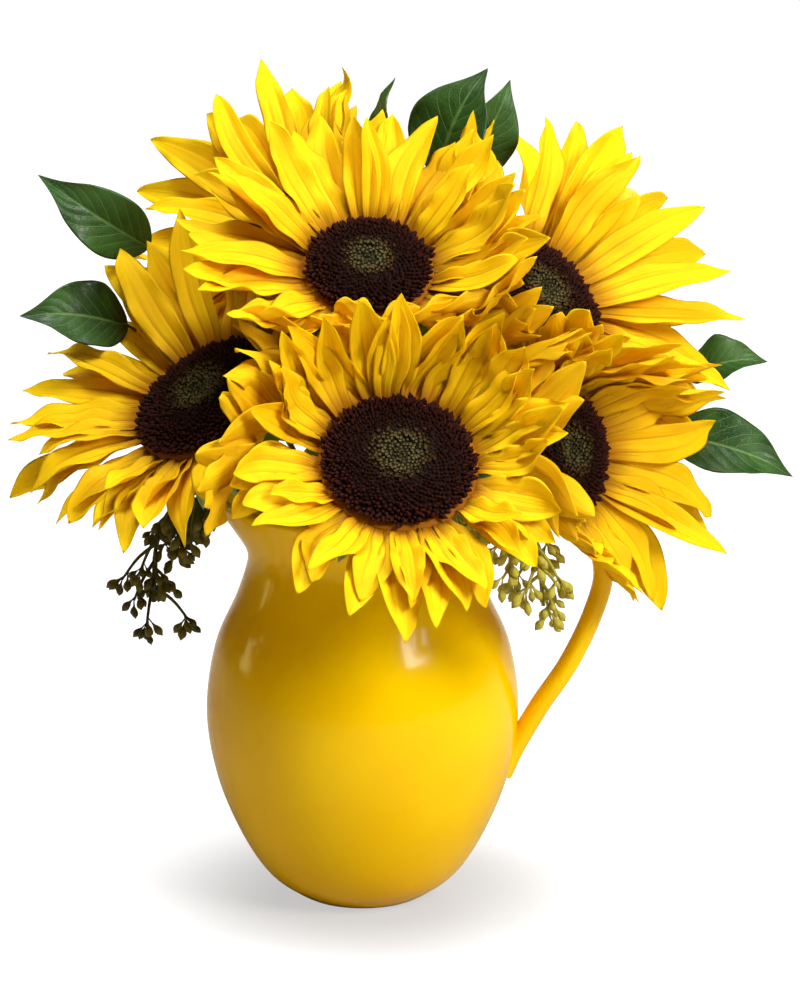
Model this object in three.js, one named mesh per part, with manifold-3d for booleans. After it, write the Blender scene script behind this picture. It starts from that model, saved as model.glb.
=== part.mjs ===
// Sunflowers in a glazed pitcher: seven cut blooms, sprigs of lemon leaf and two sprigs of
// seeded eucalyptus, standing in water.
//
// Millimetres, +Z up. The origin is the middle of the pitcher's foot, the spout points to -X,
// the handle to +X, and the arrangement faces -Y.
//
// Every bloom is three bodies that meet face to face: a green stem with its cup and bracts, a
// yellow ring of petals, and a dark disc of florets. A petal is grown step by step from a seeded
// rule. Each bloom has a cell of its own, bounded by one plane towards every other bloom, and a
// petal that comes near such a plane turns up along it, as petals do in a crowded vase.

import * as THREE from "three";
import { mergeVertices } from "three/addons/utils/BufferGeometryUtils.js";
import Module from "manifold-3d";

const wasm = await Module();
wasm.setup();

// ---------------------------------------------------------------- driving dimensions

const TOUCH = 0.3;                    // clearance between two bodies that meet
const SLIVERS = [0.04, 0.05, 0.06, 0.03, 0.08];  // faces narrower than this close up after a join

// Pitcher: half the outline, as [radius, height], from the foot to the rim.
const PITCHER_OUTLINE = [
  [31, 0], [47, 12.5], [60, 33.5], [70.5, 61], [75, 92],
  [70.5, 124], [60, 148.5], [54.2, 168], [56, 179], [60.5, 192],
];
const OUTLINE_STEPS = 10;
const INSIDE_STEPS = 9;
const PITCHER_SIDES = 30;
const WALL = 5;
const FLOOR = 7;                      // height of the inside floor
const FLOOR_RADIUS = 36;
const SPOUT = { reach: 10, rise: 4, halfAngle: 0.8, from: 166, to: 192 };
const HANDLE_PATH = [                 // [x, z], from the foot of the handle to the rim
  [68, 61], [72.5, 69], [78.5, 80], [86.5, 94.5], [99, 114], [110, 138], [115, 159],
  [109, 177], [93, 186.5], [74, 186.5], [55, 181],
];
const HANDLE_WIDTH = 14;              // along Y
const HANDLE_DEPTH = 9.6;
const HANDLE_STEPS = 16;
const WATER_LEVEL = 120;
const WATER_SIDES = 15;

// Bloom: heights are along the way the bloom faces, from the plane of the disc's rim.
const DISC = { below: 3, dome: 7, dimple: 2.2, relief: 1.3, rings: 5, spokes: 18 };
const COLLAR = { inner: 0.8, outer: 2.5, top: -3.3, bottom: -6.3, sides: 12 };
const CUP = { boss: 0.78, shelf: -6.6, bractRoot: -9, waist: -22, sides: 10 };
const BRACTS = { count: 7, length: [20, 27], drop: [0.75, 1], halfWidth: 4.4, thickness: 1.2 };
const STEM = { radius: 4.75, sides: 6, steps: 8 };
const FEET = FLOOR + 2;               // the cut ends of the stems
const NECK = 168;                     // heights where the places in the neck and rim are given
const RIM = 198;
const PETAL_ROOT = { outside: 0.3, height: -4.8 };
const PETAL_THICKNESS = 1.3;
const PETAL_STATIONS = [0, 0.3, 0.66, 1];
const GROWTH_STEPS = 24;
const SAG = 0.12;                     // how fast a petal gives in to its weight
const DROOP = 0.5;                    // how much less the petals on the lower side stand up
const CELL_MARGIN = 1.6;              // a petal's upper face stays this far inside its cell
const CELL_NEAR = 11;                 // where a petal begins to turn along a cell's plane
const CELL_SOFT = 3;                  // a point nearer than this is eased back from the plane
const CELL_CROWD = 0.23;              // how much of its growth a petal loses along a plane

// Layers of petals, from the outside in: how many, how steeply they start (radians above the
// plane of the disc), how long and wide they are, and how far they bend back.
const PETAL_LAYERS = [
  { count: 8, rise: [-0.05, 0.2], length: [56, 68], width: [20, 24], bend: [0.1, 0.5] },
  { count: 8, rise: [0.34, 0.52], length: [54, 66], width: [20, 24], bend: [0.05, 0.6] },
  { count: 6, rise: [0.75, 0.95], length: [42, 54], width: [16, 20], bend: [0.1, 0.7] },
];

// Blooms: middle of the disc's rim plane, the way it faces as [azimuth, elevation] in degrees
// (azimuth 0 is -Y, the front, and grows towards +X), the disc's radius, how fully it has grown,
// and where its stem crosses the neck and the rim of the pitcher. Trim is a list of sides where
// the petals are shorter, or longer where the share is below 0: [turn of that side, share].
const BLOOMS = [
  { name: "front", at: [17.6, -92, 236], faces: [6, 48.7], disc: 34, seed: 11,
    grown: 0.97, trim: [[0, -0.2], [2.3, 0.22], [-2.2, 0.2]], neck: [5, -31], rim: [8, -49] },
  { name: "top", at: [3.8, -38, 315], faces: [2, 52.5], disc: 28, seed: 23,
    grown: 1.06, trim: [[Math.PI, 0.6], [0, 0.06]], neck: [1, -9], rim: [1, -12] },
  { name: "left", at: [-72.3, -40, 254], faces: [-47, 51.4], disc: 34, seed: 37,
    grown: 1.12, trim: [[3.3, 0.24], [1.3, -0.18]], neck: [-33, -13], rim: [-42, -17] },
  { name: "right", at: [84, 4, 293], faces: [49, 41], disc: 33, seed: 41,
    grown: 1.2, trim: [[-1.3, -0.25], [0.7, 0.14]], spin: 0.28, neck: [26, 6], rim: [34, 8] },
  { name: "low_right", at: [94.4, -48, 230], faces: [48.8, 16.4], disc: 28.5, seed: 59,
    grown: 1.1, trim: [[-1.7, -0.16], [2.8, 0.2]], neck: [31, -19], rim: [41, -24],
    heldBack: [{ towards: [-0.75, -0.1, -0.65], at: [97, -75, 186] }] },  // by the seeded sprig
  { name: "back_left", at: [-33, 58, 317], faces: [-42, 52], disc: 27, seed: 67,
    grown: 1.42, trim: [[-0.4, 0.34], [2.3, 0.3]], neck: [-12, 18], rim: [-16, 24],
    heldBack: [{ towards: [1, 0, 0.1], at: [3, 60, 340] }] },             // by the leaves behind
  { name: "back", at: [12, 108, 262], faces: [172, 32], disc: 32, seed: 83,
    grown: 1.05, neck: [9, 31], rim: [13, 42] },
];

// Where one bloom's petals lie over the next one's, and how far the plane between them leans.
const OVERLAPS = [
  { over: "front", under: "low_right", lean: 0.5 },
  { over: "front", under: "left", lean: 0.1 },
  { over: "front", under: "top", lean: 0.2 },
  { over: "top", under: "back_left", lean: 1.2 },
  { over: "top", under: "left", lean: 0.9 },
  { over: "top", under: "right", lean: 0.6 },
  { over: "top", under: "back", lean: 0.4 },
  { over: "left", under: "back_left", lean: 1.2 },
  { over: "right", under: "back", lean: 1 },
  { over: "back_left", under: "back", lean: 0.6 },
];

// Foliage: where the stem crosses the neck and the rim, where it goes from there, and its leaves,
// each with the joint of its stalk, its two ends, the way its upper face looks and its width.
const SPRIG = { radius: 1.8, sides: 4, steps: 8 };
const LEAF = { stations: [0, 0.18, 0.4, 0.65, 0.87, 1], bow: 0.1, fold: 0.25, thickness: 1.1 };
const STALK_RADIUS = 1.2;
const LEAF_SPRIGS = [
  { name: "leaf_sprig_left", neck: [-40, 4], rim: [-46, 10], via: [[-68, 30, 230], [-94, 40, 258]],
    leaves: [
      { joint: [-92, 39, 256], from: [-102, 44, 308], to: [-152, 24, 346],
        looks: [-0.3, -0.9, 0.4], width: 34 },
      { joint: [-92, 39, 256], from: [-112, 34, 272], to: [-161, 12, 282],
        looks: [-0.1, -0.8, 0.5], width: 38 },
    ] },
  { name: "leaf_sprig_top", neck: [9, 12], rim: [14, 20], via: [[22, 40, 270], [26, 56, 322]],
    leaves: [
      { joint: [26, 55, 318], from: [12, 62, 348], to: [14, 60, 388],
        looks: [-0.9, -0.4, 0.1], width: 20 },
      { joint: [26, 55, 318], from: [36, 66, 339], to: [59, 61, 392],
        looks: [-0.4, -0.9, 0.1], width: 46 },
      { joint: [26, 55, 318], from: [48, 68, 338], to: [72, 66, 384],
        looks: [0.4, -0.9, 0.1], width: 34 },
    ] },
  { name: "leaf_sprig_right", neck: [41, 12], rim: [46, 14], via: [[78, 26, 222], [112, 26, 240]],
    leaves: [
      { joint: [110, 26, 239], from: [160, 80, 238], to: [197, 66, 249],
        looks: [0, -0.6, 0.8], width: 34 },
      { joint: [92, 26, 229], from: [147, 42, 217], to: [208, 30, 200],
        looks: [0.1, -0.75, 0.6], width: 38 },
    ] },
  { name: "leaf_sprig_back_left", neck: [-26, 34], rim: [-30, 42], via: [[-48, 68, 226], [-60, 84, 240]],
    leaves: [
      { joint: [-58, 82, 238], from: [-72, 92, 250], to: [-104, 112, 276],
        looks: [-0.5, 0.3, 0.8], width: 34 },
      { joint: [-46, 66, 224], from: [-50, 92, 222], to: [-62, 134, 214],
        looks: [-0.2, 0.3, 0.9], width: 36 },
    ] },
  { name: "leaf_sprig_back_right", neck: [32, 28], rim: [38, 36], via: [[66, 60, 222], [84, 74, 236]],
    leaves: [
      { joint: [82, 73, 234], from: [108, 76, 230], to: [144, 92, 246],
        looks: [0.5, 0.3, 0.8], width: 34 },
      { joint: [64, 58, 221], from: [82, 82, 214], to: [106, 118, 202],
        looks: [0.2, 0.4, 0.9], width: 36 },
    ] },
];
const SEEDED_SPRIGS = [
  { name: "eucalyptus_left", neck: [-36, -25], rim: [-45, -27], seed: 5, from: 0.7,
    via: [[-64, -28, 207], [-84, -26, 201], [-96, -26, 180], [-98, -27, 152]],
    bunches: 6, capsules: 4,
    leaf: { from: [-77, -29, 203], to: [-80, -37, 181], looks: [-0.2, -1, 0.2], width: 15 } },
  { name: "eucalyptus_right", neck: [20, -39], rim: [30, -40], seed: 9, from: 0.7,
    via: [[50, -61, 213], [67, -81, 212], [79, -91, 197], [83, -92, 168]],
    bunches: 5, capsules: 4,
    leaf: { from: [62, -71, 211], to: [66, -92, 199], looks: [0.1, -0.5, 0.9], width: 13 } },
];
const TWIG_REACH = [9, 15];
const CAPSULE_SHAPE = [[0, 0.4], [4.5, 0.7], [7.5, 2.7], [11.5, 0]];  // [distance, radius]
const GOLDEN_TURN = 2.4;              // radians from one twig or capsule to the next

// ---------------------------------------------------------------- small helpers

const vec = (x, y, z) => new THREE.Vector3(x, y, z);
const degrees = Math.PI / 180;

/** A repeatable stream of draws from 0 to 1. */
function seeded(seed) {
  let state = seed;
  return () => {
    state = (state * 1664525 + 1013904223) % 4294967296;
    return state / 4294967296;
  };
}

const between = (draw, [low, high]) => low + (high - low) * draw();
const smooth = (t) => {
  const u = Math.min(Math.max(t, 0), 1);
  return u * u * (3 - 2 * u);
};

/** A closed body from any geometry whose faces already point out. */
function solid(geometry) {
  const bare = geometry.clone();
  bare.deleteAttribute("normal");
  bare.deleteAttribute("uv");
  const merged = mergeVertices(bare, 1e-4);
  return new wasm.Manifold(new wasm.Mesh({
    numProp: 3,
    vertProperties: new Float32Array(merged.attributes.position.array),
    triVerts: new Uint32Array(merged.index.array),
  }));
}

/** The geometry of a body that manifold has joined or cut. */
function geometryOf(body) {
  const mesh = body.getMesh();
  const geometry = new THREE.BufferGeometry();
  geometry.setAttribute("position", new THREE.BufferAttribute(mesh.vertProperties, 3));
  geometry.setIndex(new THREE.BufferAttribute(mesh.triVerts, 1));
  geometry.computeVertexNormals();
  return geometry;
}

/** Whether two corners of a body lie at one place, so that its skin is pinched there. */
function isPinched(body) {
  const { vertProperties: places, numVert } = body.getMesh();
  const corner = (i) => [0, 1, 2].map((axis) => places[3 * i + axis].toFixed(3)).join();
  return new Set(Array.from({ length: numVert }, (_, i) => corner(i))).size < numVert;
}

/** Bodies joined into one, without the slivers and the sealed hollows that a join may leave. */
function joined(bodies) {
  const whole = bodies.reduce((sum, body) => sum.add(body)).asOriginal();
  const width = SLIVERS.find((each) => !isPinched(whole.simplify(each))) ?? SLIVERS[0];
  const shells = whole.simplify(width).decompose();
  return shells.reduce((best, shell) => (shell.volume() > best.volume() ? shell : best));
}

/** A closed skin over sections of equal counts. A section of one point closes the form in a tip. */
function loft(sections) {
  const points = [];
  const faces = [];
  const starts = sections.map((section) => {
    const start = points.length / 3;
    section.forEach((point) => points.push(point.x, point.y, point.z));
    return start;
  });
  const cap = (section, start, flip) => {
    for (let i = 1; i + 1 < section.length; i += 1) {
      faces.push(start, start + (flip ? i + 1 : i), start + (flip ? i : i + 1));
    }
  };
  cap(sections[0], starts[0], true);
  cap(sections.at(-1), starts.at(-1), false);
  for (let s = 0; s + 1 < sections.length; s += 1) {
    const [lower, upper] = [sections[s], sections[s + 1]];
    const sides = Math.max(lower.length, upper.length);
    for (let i = 0; i < sides; i += 1) {
      const a = starts[s] + (i % lower.length);
      const b = starts[s] + ((i + 1) % lower.length);
      const c = starts[s + 1] + ((i + 1) % upper.length);
      const d = starts[s + 1] + (i % upper.length);
      if (a !== b) faces.push(a, b, c);
      if (c !== d) faces.push(a, c, d);
    }
  }
  const geometry = new THREE.BufferGeometry();
  geometry.setAttribute("position", new THREE.Float32BufferAttribute(points, 3));
  geometry.setIndex(faces);
  return geometry;
}

const smoothLine = (points) => new THREE.CatmullRomCurve3(points, false, "catmullrom", 0.5);

/** A round rod along a smooth curve through the points. */
function rod(points, radius, sides, steps) {
  const outline = new THREE.Shape();
  for (let i = 0; i < sides; i += 1) {
    const turn = (2 * Math.PI * i) / sides;
    const place = [radius * Math.cos(turn), radius * Math.sin(turn)];
    if (i === 0) outline.moveTo(...place);
    else outline.lineTo(...place);
  }
  outline.closePath();
  const extrudePath = smoothLine(points);
  return new THREE.ExtrudeGeometry(outline, { steps, extrudePath, bevelEnabled: false });
}

/** A turned form from [radius, height] pairs that start and end on the axis, upright along +Z. */
function turned(profile, sides) {
  const points = profile.map(([radius, height]) => new THREE.Vector2(radius, height));
  return new THREE.LatheGeometry(points, sides).rotateX(Math.PI / 2);
}

// ---------------------------------------------------------------- pitcher and water

const outline = new THREE.SplineCurve(PITCHER_OUTLINE.map(([r, z]) => new THREE.Vector2(r, z)));

/** The outline moved inwards by a depth, as [radius, height] pairs above the given floor. */
function insetOutline(depth, floor, steps = OUTLINE_STEPS) {
  const pairs = [];
  for (let i = 0; i <= steps; i += 1) {
    const point = outline.getPointAt(i / steps);
    const along = outline.getTangentAt(i / steps);
    const pair = [point.x - depth * along.y, point.y + depth * along.x];
    if (pair[1] > floor) pairs.push(pair);
  }
  return pairs;
}

/** Draws the part of a turned form above the neck out into the spout, in place. */
function drawSpout(geometry) {
  const position = geometry.attributes.position;
  for (let i = 0; i < position.count; i += 1) {
    const [x, y, z] = [position.getX(i), position.getY(i), position.getZ(i)];
    const radius = Math.hypot(x, y);
    const turn = Math.min(Math.abs(Math.atan2(y, -x)) / SPOUT.halfAngle, 1);
    if (radius < 1 || turn === 1) continue;
    const pull = Math.cos(turn * Math.PI / 2) ** 2 * smooth((z - SPOUT.from) / (SPOUT.to - SPOUT.from));
    const grow = 1 + (SPOUT.reach * pull) / radius;
    position.setXYZ(i, x * grow, y * grow, z + SPOUT.rise * pull);
  }
  return geometry;
}

function makePitcher() {
  const outside = insetOutline(0, -1);
  const inside = insetOutline(WALL, FLOOR + 4, INSIDE_STEPS);
  const [rimRadius, rimHeight] = outside.at(-1);
  const shell = solid(drawSpout(turned([
    [0, 0],
    ...outside,
    [rimRadius - 0.4, rimHeight + 1.8],
    [rimRadius - WALL / 2, rimHeight + 2.6],
    [rimRadius - WALL + 0.6, rimHeight + 1.6],
    ...inside.reverse(),
    [FLOOR_RADIUS, FLOOR],
    [0, FLOOR],
  ], PITCHER_SIDES)));
  const core = solid(drawSpout(turned([
    [0, FLOOR],
    ...insetOutline(WALL / 2, FLOOR),
    [0, rimHeight + 1],
  ], PITCHER_SIDES)));
  const section = new THREE.Shape();
  section.absellipse(0, 0, HANDLE_WIDTH / 2, HANDLE_DEPTH / 2, 0, 2 * Math.PI);
  const path = new THREE.CatmullRomCurve3(HANDLE_PATH.map(([x, z]) => vec(x, 0, z)));
  const handle = solid(new THREE.ExtrudeGeometry(section, {
    steps: HANDLE_STEPS, curveSegments: 4, extrudePath: path, bevelEnabled: false,
  }));
  return shell.add(handle.subtract(core));
}

/** The water follows the inner wall and leaves a plain hole for every stem. */
function makeWater(holes) {
  const facet = Math.cos(Math.PI / PITCHER_SIDES);
  const wall = insetOutline(WALL, FLOOR + 4, INSIDE_STEPS);
  const below = wall.filter(([, z]) => z < WATER_LEVEL);
  const [low, high] = wall.slice(below.length - 1, below.length + 1);
  const share = (WATER_LEVEL - low[1]) / (high[1] - low[1]);
  const reach = low[0] + share * (high[0] - low[0]);
  const body = solid(turned([
    [0, FLOOR + TOUCH],
    [FLOOR_RADIUS * facet - 3 * TOUCH, FLOOR + TOUCH],
    ...below.map(([r, z]) => [r * facet - 2 * TOUCH, z]),
    [reach * facet - 2 * TOUCH, WATER_LEVEL],
    [0, WATER_LEVEL],
  ], WATER_SIDES));
  return holes.reduce((left, hole) => left.subtract(hole), body);
}

// ---------------------------------------------------------------- blooms

/** The frame of a bloom: where it is, the way it faces, and two directions across the disc. */
function headFrame({ at, faces: [azimuth, elevation] }) {
  const level = Math.cos(elevation * degrees);
  const faces = vec(
    Math.sin(azimuth * degrees) * level,
    -Math.cos(azimuth * degrees) * level,
    Math.sin(elevation * degrees),
  );
  const up = vec(0, 0, 1).addScaledVector(faces, -faces.z).normalize();
  return { centre: vec(...at), faces, up, side: faces.clone().cross(up) };
}

/** A point on a bloom from its polar coordinates: angle about its axis, radius and height. */
function onHead({ centre, faces, up, side }, turn, radius, height) {
  return centre.clone()
    .addScaledVector(up, radius * Math.cos(turn))
    .addScaledVector(side, radius * Math.sin(turn))
    .addScaledVector(faces, height);
}

/** Moves a form made about +Z to the place and facing of a bloom. */
function placeOnHead(geometry, { centre, faces, up, side }) {
  const frame = new THREE.Matrix4().makeBasis(up, side, faces).setPosition(centre);
  return geometry.applyMatrix4(frame);
}

/** How far the plane from one bloom to the other leans: more than 0 where the first lies over. */
function leanBetween(first, second) {
  const isPair = (pair, a, b) => pair.over === a.name && pair.under === b.name;
  const over = OVERLAPS.find((pair) => isPair(pair, first, second));
  const under = OVERLAPS.find((pair) => isPair(pair, second, first));
  return (over?.lean ?? 0) - (under?.lean ?? 0);
}

/**
 * The planes round a bloom's cell. A plane holds the mean facing of the two blooms it parts,
 * or leans from it where one lies over the other, and runs midway between their collars.
 */
function cellPlanes(bloom, blooms) {
  const held = (bloom.heldBack ?? []).map(({ towards, at }) => {
    const normal = vec(...towards).normalize();
    return { normal, offset: vec(...at).dot(normal) };
  });
  const parted = blooms.filter((other) => other !== bloom).map((other) => {
    const mean = bloom.frame.faces.clone().add(other.frame.faces).normalize();
    const across = other.frame.centre.clone().sub(bloom.frame.centre);
    const normal = across.addScaledVector(mean, -across.dot(mean)).normalize()
      .addScaledVector(mean, -leanBetween(bloom, other)).normalize();
    const near = bloom.frame.centre.dot(normal) + headReach(bloom, normal);
    const far = other.frame.centre.dot(normal) - headReach(other, normal);
    return { normal, offset: (near + far) / 2 };
  });
  return [...parted, ...held];
}

/** How far the disc and collar of a bloom reach from its centre along a direction. */
function headReach(bloom, direction) {
  const towards = bloom.frame.faces.dot(direction);
  return (bloom.disc + COLLAR.outer) * Math.sqrt(1 - towards ** 2) + DISC.dome * Math.abs(towards);
}

/** How far inside a cell's plane a point lies. */
const depthInside = (plane, point) => plane.offset - point.dot(plane.normal) - CELL_MARGIN;

/** Brings a point that comes too near a plane of the cell, or the disc's side, back. */
function keptInside(point, bloom) {
  bloom.planes.forEach((plane) => {
    const depth = depthInside(plane, point);
    if (depth < CELL_SOFT) {
      const kept = CELL_SOFT * Math.exp((depth - CELL_SOFT) / CELL_SOFT);
      point.addScaledVector(plane.normal, depth - kept);
    }
  });
  const { centre, faces } = bloom.frame;
  const outward = point.clone().sub(centre);
  const height = outward.dot(faces);
  outward.addScaledVector(faces, -height);
  const short = bloom.disc + PETAL_ROOT.outside - outward.length();
  if (Math.abs(height) < DISC.dome && short > 0) point.addScaledVector(outward.normalize(), short);
  return point;
}

/** A petal's length on its bloom, which is less on a side where the next bloom crowds it. */
function fullLength(bloom, petal) {
  const shares = (bloom.trim ?? []).map(([side, share]) =>
    1 - share * smooth(2 * Math.cos(petal.turn - side) - 1));
  return shares.reduce((length, share) => length * share, petal.length * bloom.grown);
}

/** The middle line of a petal, with the direction it grows in and the way its face looks. */
function growPetal(bloom, petal) {
  const { frame, planes } = bloom;
  const radial = onHead(frame, petal.turn, 1, 0).sub(frame.centre);
  const point = onHead(frame, petal.turn, bloom.disc + PETAL_ROOT.outside, PETAL_ROOT.height);
  const rise = petal.rise * (1 - DROOP * (1 - Math.cos(petal.turn)) / 2);
  const along = radial.clone().multiplyScalar(Math.cos(rise))
    .addScaledVector(frame.faces, Math.sin(rise));
  const face = radial.clone().multiplyScalar(-Math.sin(rise))
    .addScaledVector(frame.faces, Math.cos(rise));
  const line = [];
  const fullStep = fullLength(bloom, petal) / GROWTH_STEPS;
  for (let i = 0; i <= GROWTH_STEPS; i += 1) {
    line.push({ point: point.clone(), along: along.clone(), face: face.clone() });
    const grown = i / GROWTH_STEPS;
    const turnBack = (2 * grown * petal.bend) / GROWTH_STEPS;
    along.addScaledVector(face, -turnBack);
    along.z -= (SAG * grown) / GROWTH_STEPS;
    let step = fullStep;
    planes.forEach((plane) => {
      const near = smooth(1 - depthInside(plane, point) / CELL_NEAR);
      const into = along.dot(plane.normal);
      if (near > 0 && into > 0) {
        along.addScaledVector(plane.normal, -near * into);
        face.addScaledVector(plane.normal, -near);
        step *= 1 - CELL_CROWD * near;
      }
    });
    along.normalize();
    const twist = petal.twist / GROWTH_STEPS;
    face.addScaledVector(along.clone().cross(face), twist);
    face.addScaledVector(along, -face.dot(along)).normalize();
    point.addScaledVector(along, step);
  }
  return line;
}

/** Half the width of a petal, as a share of its full half width, along its length. */
function petalWidth(grown) {
  const widest = 0.45;
  if (grown < widest) return 0.52 + 0.48 * Math.sin((grown / widest) * Math.PI / 2);
  return 1 - ((grown - widest) / (1 - widest)) ** 2.3;
}

/** A petal as a blade with a keel below, from its root in the collar to its tip. */
function petalBlade(bloom, petal) {
  const line = growPetal(bloom, petal);
  const sections = PETAL_STATIONS.map((grown) => {
    const { point, along, face } = line[Math.round(grown * GROWTH_STEPS)];
    const middle = keptInside(point.clone(), bloom);
    if (grown === 1) return [middle];
    const across = along.clone().cross(face);
    const half = (petal.width / 2) * petalWidth(grown);
    const lift = petal.fold * half;
    const edge = (sign) => keptInside(
      point.clone().addScaledVector(across, sign * half).addScaledVector(face, lift),
      bloom,
    );
    const [left, right] = [edge(-1), edge(1)];
    const chord = left.clone().lerp(right, 0.5);
    const below = along.clone().cross(right.clone().sub(left)).normalize();
    const depth = Math.max(0, middle.sub(chord).dot(below)) + PETAL_THICKNESS;
    return [left, right, chord.addScaledVector(below, depth)];
  });
  return solid(loft(sections));
}

/** Every petal of a bloom, layer by layer, each layer turned against the one below. */
function drawPetals(bloom) {
  const draw = seeded(bloom.seed);
  const petals = [];
  PETAL_LAYERS.forEach((layer, order) => {
    for (let i = 0; i < layer.count; i += 1) {
      petals.push({
        turn: ((i + order / 2 + 0.5 * (draw() - 0.5)) / layer.count) * 2 * Math.PI
          + (bloom.spin ?? 0),
        rise: between(draw, layer.rise),
        length: between(draw, layer.length),
        width: between(draw, layer.width),
        bend: between(draw, layer.bend),
        twist: between(draw, [-0.35, 0.35]),
        fold: between(draw, [0.1, 0.3]),
      });
    }
  });
  return petals;
}

function makePetals(bloom) {
  const inner = COLLAR.inner * bloom.disc + TOUCH;
  const outer = bloom.disc + COLLAR.outer;
  const corners = [
    [inner, COLLAR.bottom], [outer, COLLAR.bottom], [outer, COLLAR.top], [inner, COLLAR.top],
  ];
  const ring = turned([...corners, corners[0]], COLLAR.sides);
  const collar = solid(placeOnHead(ring, bloom.frame));
  return joined([collar, ...drawPetals(bloom).map((petal) => petalBlade(bloom, petal))]);
}

/** The disc: a low dome with a dimple, its florets raised in a chequer of small points. */
function makeDisc(bloom) {
  const { below, dome, dimple, relief, rings, spokes } = DISC;
  const sections = [];
  const circle = (radius, height, bump) => {
    const section = [];
    for (let i = 0; i < spokes; i += 1) {
      const turn = (2 * Math.PI * i) / spokes;
      section.push(onHead(bloom.frame, turn, radius, height + bump(i)));
    }
    return section;
  };
  const flat = () => 0;
  sections.push(circle(bloom.disc - below, -below, flat));
  sections.push(circle(bloom.disc, 0, flat));
  for (let ring = 1; ring < rings; ring += 1) {
    const share = 1 - ring / rings;
    const height = dome * (1 - share ** 3) - dimple * Math.max(0, 1 - share / 0.5);
    sections.push(circle(bloom.disc * share, height, (i) => (((i + ring) % 2) ? relief : -relief)));
  }
  sections.push([onHead(bloom.frame, 0, 0, dome - dimple)]);
  return solid(loft(sections));
}

/** The way of a stem from its foot through neck and rim to its bloom. */
function stemRoute({ frame, neck, rim }, foot) {
  return [
    vec(0.55 * neck[0], 0.55 * neck[1], foot),
    vec(0.8 * neck[0], 0.8 * neck[1], 0.75 * WATER_LEVEL),
    vec(...neck, NECK),
    vec(...rim, RIM),
    onHead(frame, 0, 0, CUP.waist - 12),
    onHead(frame, 0, 0, CUP.waist + 4),
  ];
}

/** The stem alone, or with a swell the hole it stands in, which is that much wider and deeper. */
const bloomStem = (bloom, swell = 0) =>
  solid(rod(stemRoute(bloom, FEET - swell), STEM.radius + swell, STEM.sides, STEM.steps));

/** The green of a bloom: the stem, the cup under the disc, and the bracts that bend back. */
function makeGreen(bloom) {
  const draw = seeded(bloom.seed + 1000);
  const cup = solid(placeOnHead(turned([
    [0, CUP.waist],
    [STEM.radius + 1, CUP.waist],
    [0.84 * bloom.disc, CUP.bractRoot - 1.5],
    [0.9 * bloom.disc, CUP.shelf],
    [CUP.boss * bloom.disc, CUP.shelf],
    [CUP.boss * bloom.disc, -DISC.below - TOUCH],
    [0, -DISC.below - TOUCH],
  ], CUP.sides), bloom.frame));
  const bracts = [];
  for (let i = 0; i < BRACTS.count; i += 1) {
    const turn = ((i + 0.5 * (draw() - 0.5)) / BRACTS.count) * 2 * Math.PI;
    const length = between(draw, BRACTS.length);
    const drop = between(draw, BRACTS.drop);
    const root = 0.84 * bloom.disc - 2.5;
    const place = (along, half, height) => keptInside(onHead(
      bloom.frame,
      turn + half / root,
      root + along * length * Math.cos(drop),
      CUP.bractRoot - along * length * Math.sin(drop) * (0.7 + 0.5 * along) + height,
    ), bloom);
    const section = (along) => [
      place(along, BRACTS.halfWidth, 0),
      place(along, -BRACTS.halfWidth, 0),
      place(along, 0, -BRACTS.thickness),
    ];
    bracts.push(solid(loft([section(0), section(0.4), [place(1, 0, 0)]])));
  }
  return joined([cup, bloomStem(bloom), ...bracts]);
}

// ---------------------------------------------------------------- foliage

/** A leaf: an oval blade with a drawn-out tip, folded a little along its rib and bowed. */
function leafBlade({ from, to, looks, width }) {
  const [base, tip] = [vec(...from), vec(...to)];
  const span = tip.clone().sub(base);
  const length = span.length();
  const along = span.clone().normalize();
  const face = vec(...looks);
  face.addScaledVector(along, -face.dot(along)).normalize();
  const across = along.clone().cross(face);
  const sections = LEAF.stations.map((grown) => {
    const middle = base.clone().addScaledVector(span, grown)
      .addScaledVector(face, LEAF.bow * length * Math.sin(Math.PI * grown));
    if (grown === 1) return [middle];
    const half = Math.max((width / 2) * leafWidth(grown), STALK_RADIUS);
    const edge = (sign) => middle.clone().addScaledVector(across, sign * half)
      .addScaledVector(face, LEAF.fold * half);
    return [edge(-1), edge(1), middle.clone().addScaledVector(face, -LEAF.thickness)];
  });
  return solid(loft(sections));
}

/** Half the width of a leaf along its length, as a share of its full half width. */
const leafWidth = (grown) => Math.sin(Math.PI * grown ** 0.8) ** 0.85 * (1 - 0.25 * grown);

/** The way of a sprig's stem from its foot, over the rim and on. */
function sprigRoute({ neck, rim, via }, foot) {
  return [
    vec(0.6 * neck[0], 0.6 * neck[1], foot),
    vec(...neck, NECK),
    vec(...rim, RIM + 2),
    ...via.map((point) => vec(...point)),
  ];
}

/** The stem of a sprig, or with a swell the hole it stands in. */
const sprigStem = (sprig, swell = 0) =>
  solid(rod(sprigRoute(sprig, FEET - swell), SPRIG.radius + swell, SPRIG.sides, SPRIG.steps));

/** A leafy sprig: a thin woody stem, and a leaf at the end of a stalk from each joint. */
function makeLeafSprig(sprig) {
  const stalks = sprig.leaves.map(({ joint, from, to }) => {
    const beyond = vec(...from).lerp(vec(...to), 0.08);
    return solid(rod([vec(...joint), vec(...from), beyond], STALK_RADIUS, 4, 2));
  });
  return joined([sprigStem(sprig), ...stalks, ...sprig.leaves.map(leafBlade)]);
}

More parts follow.
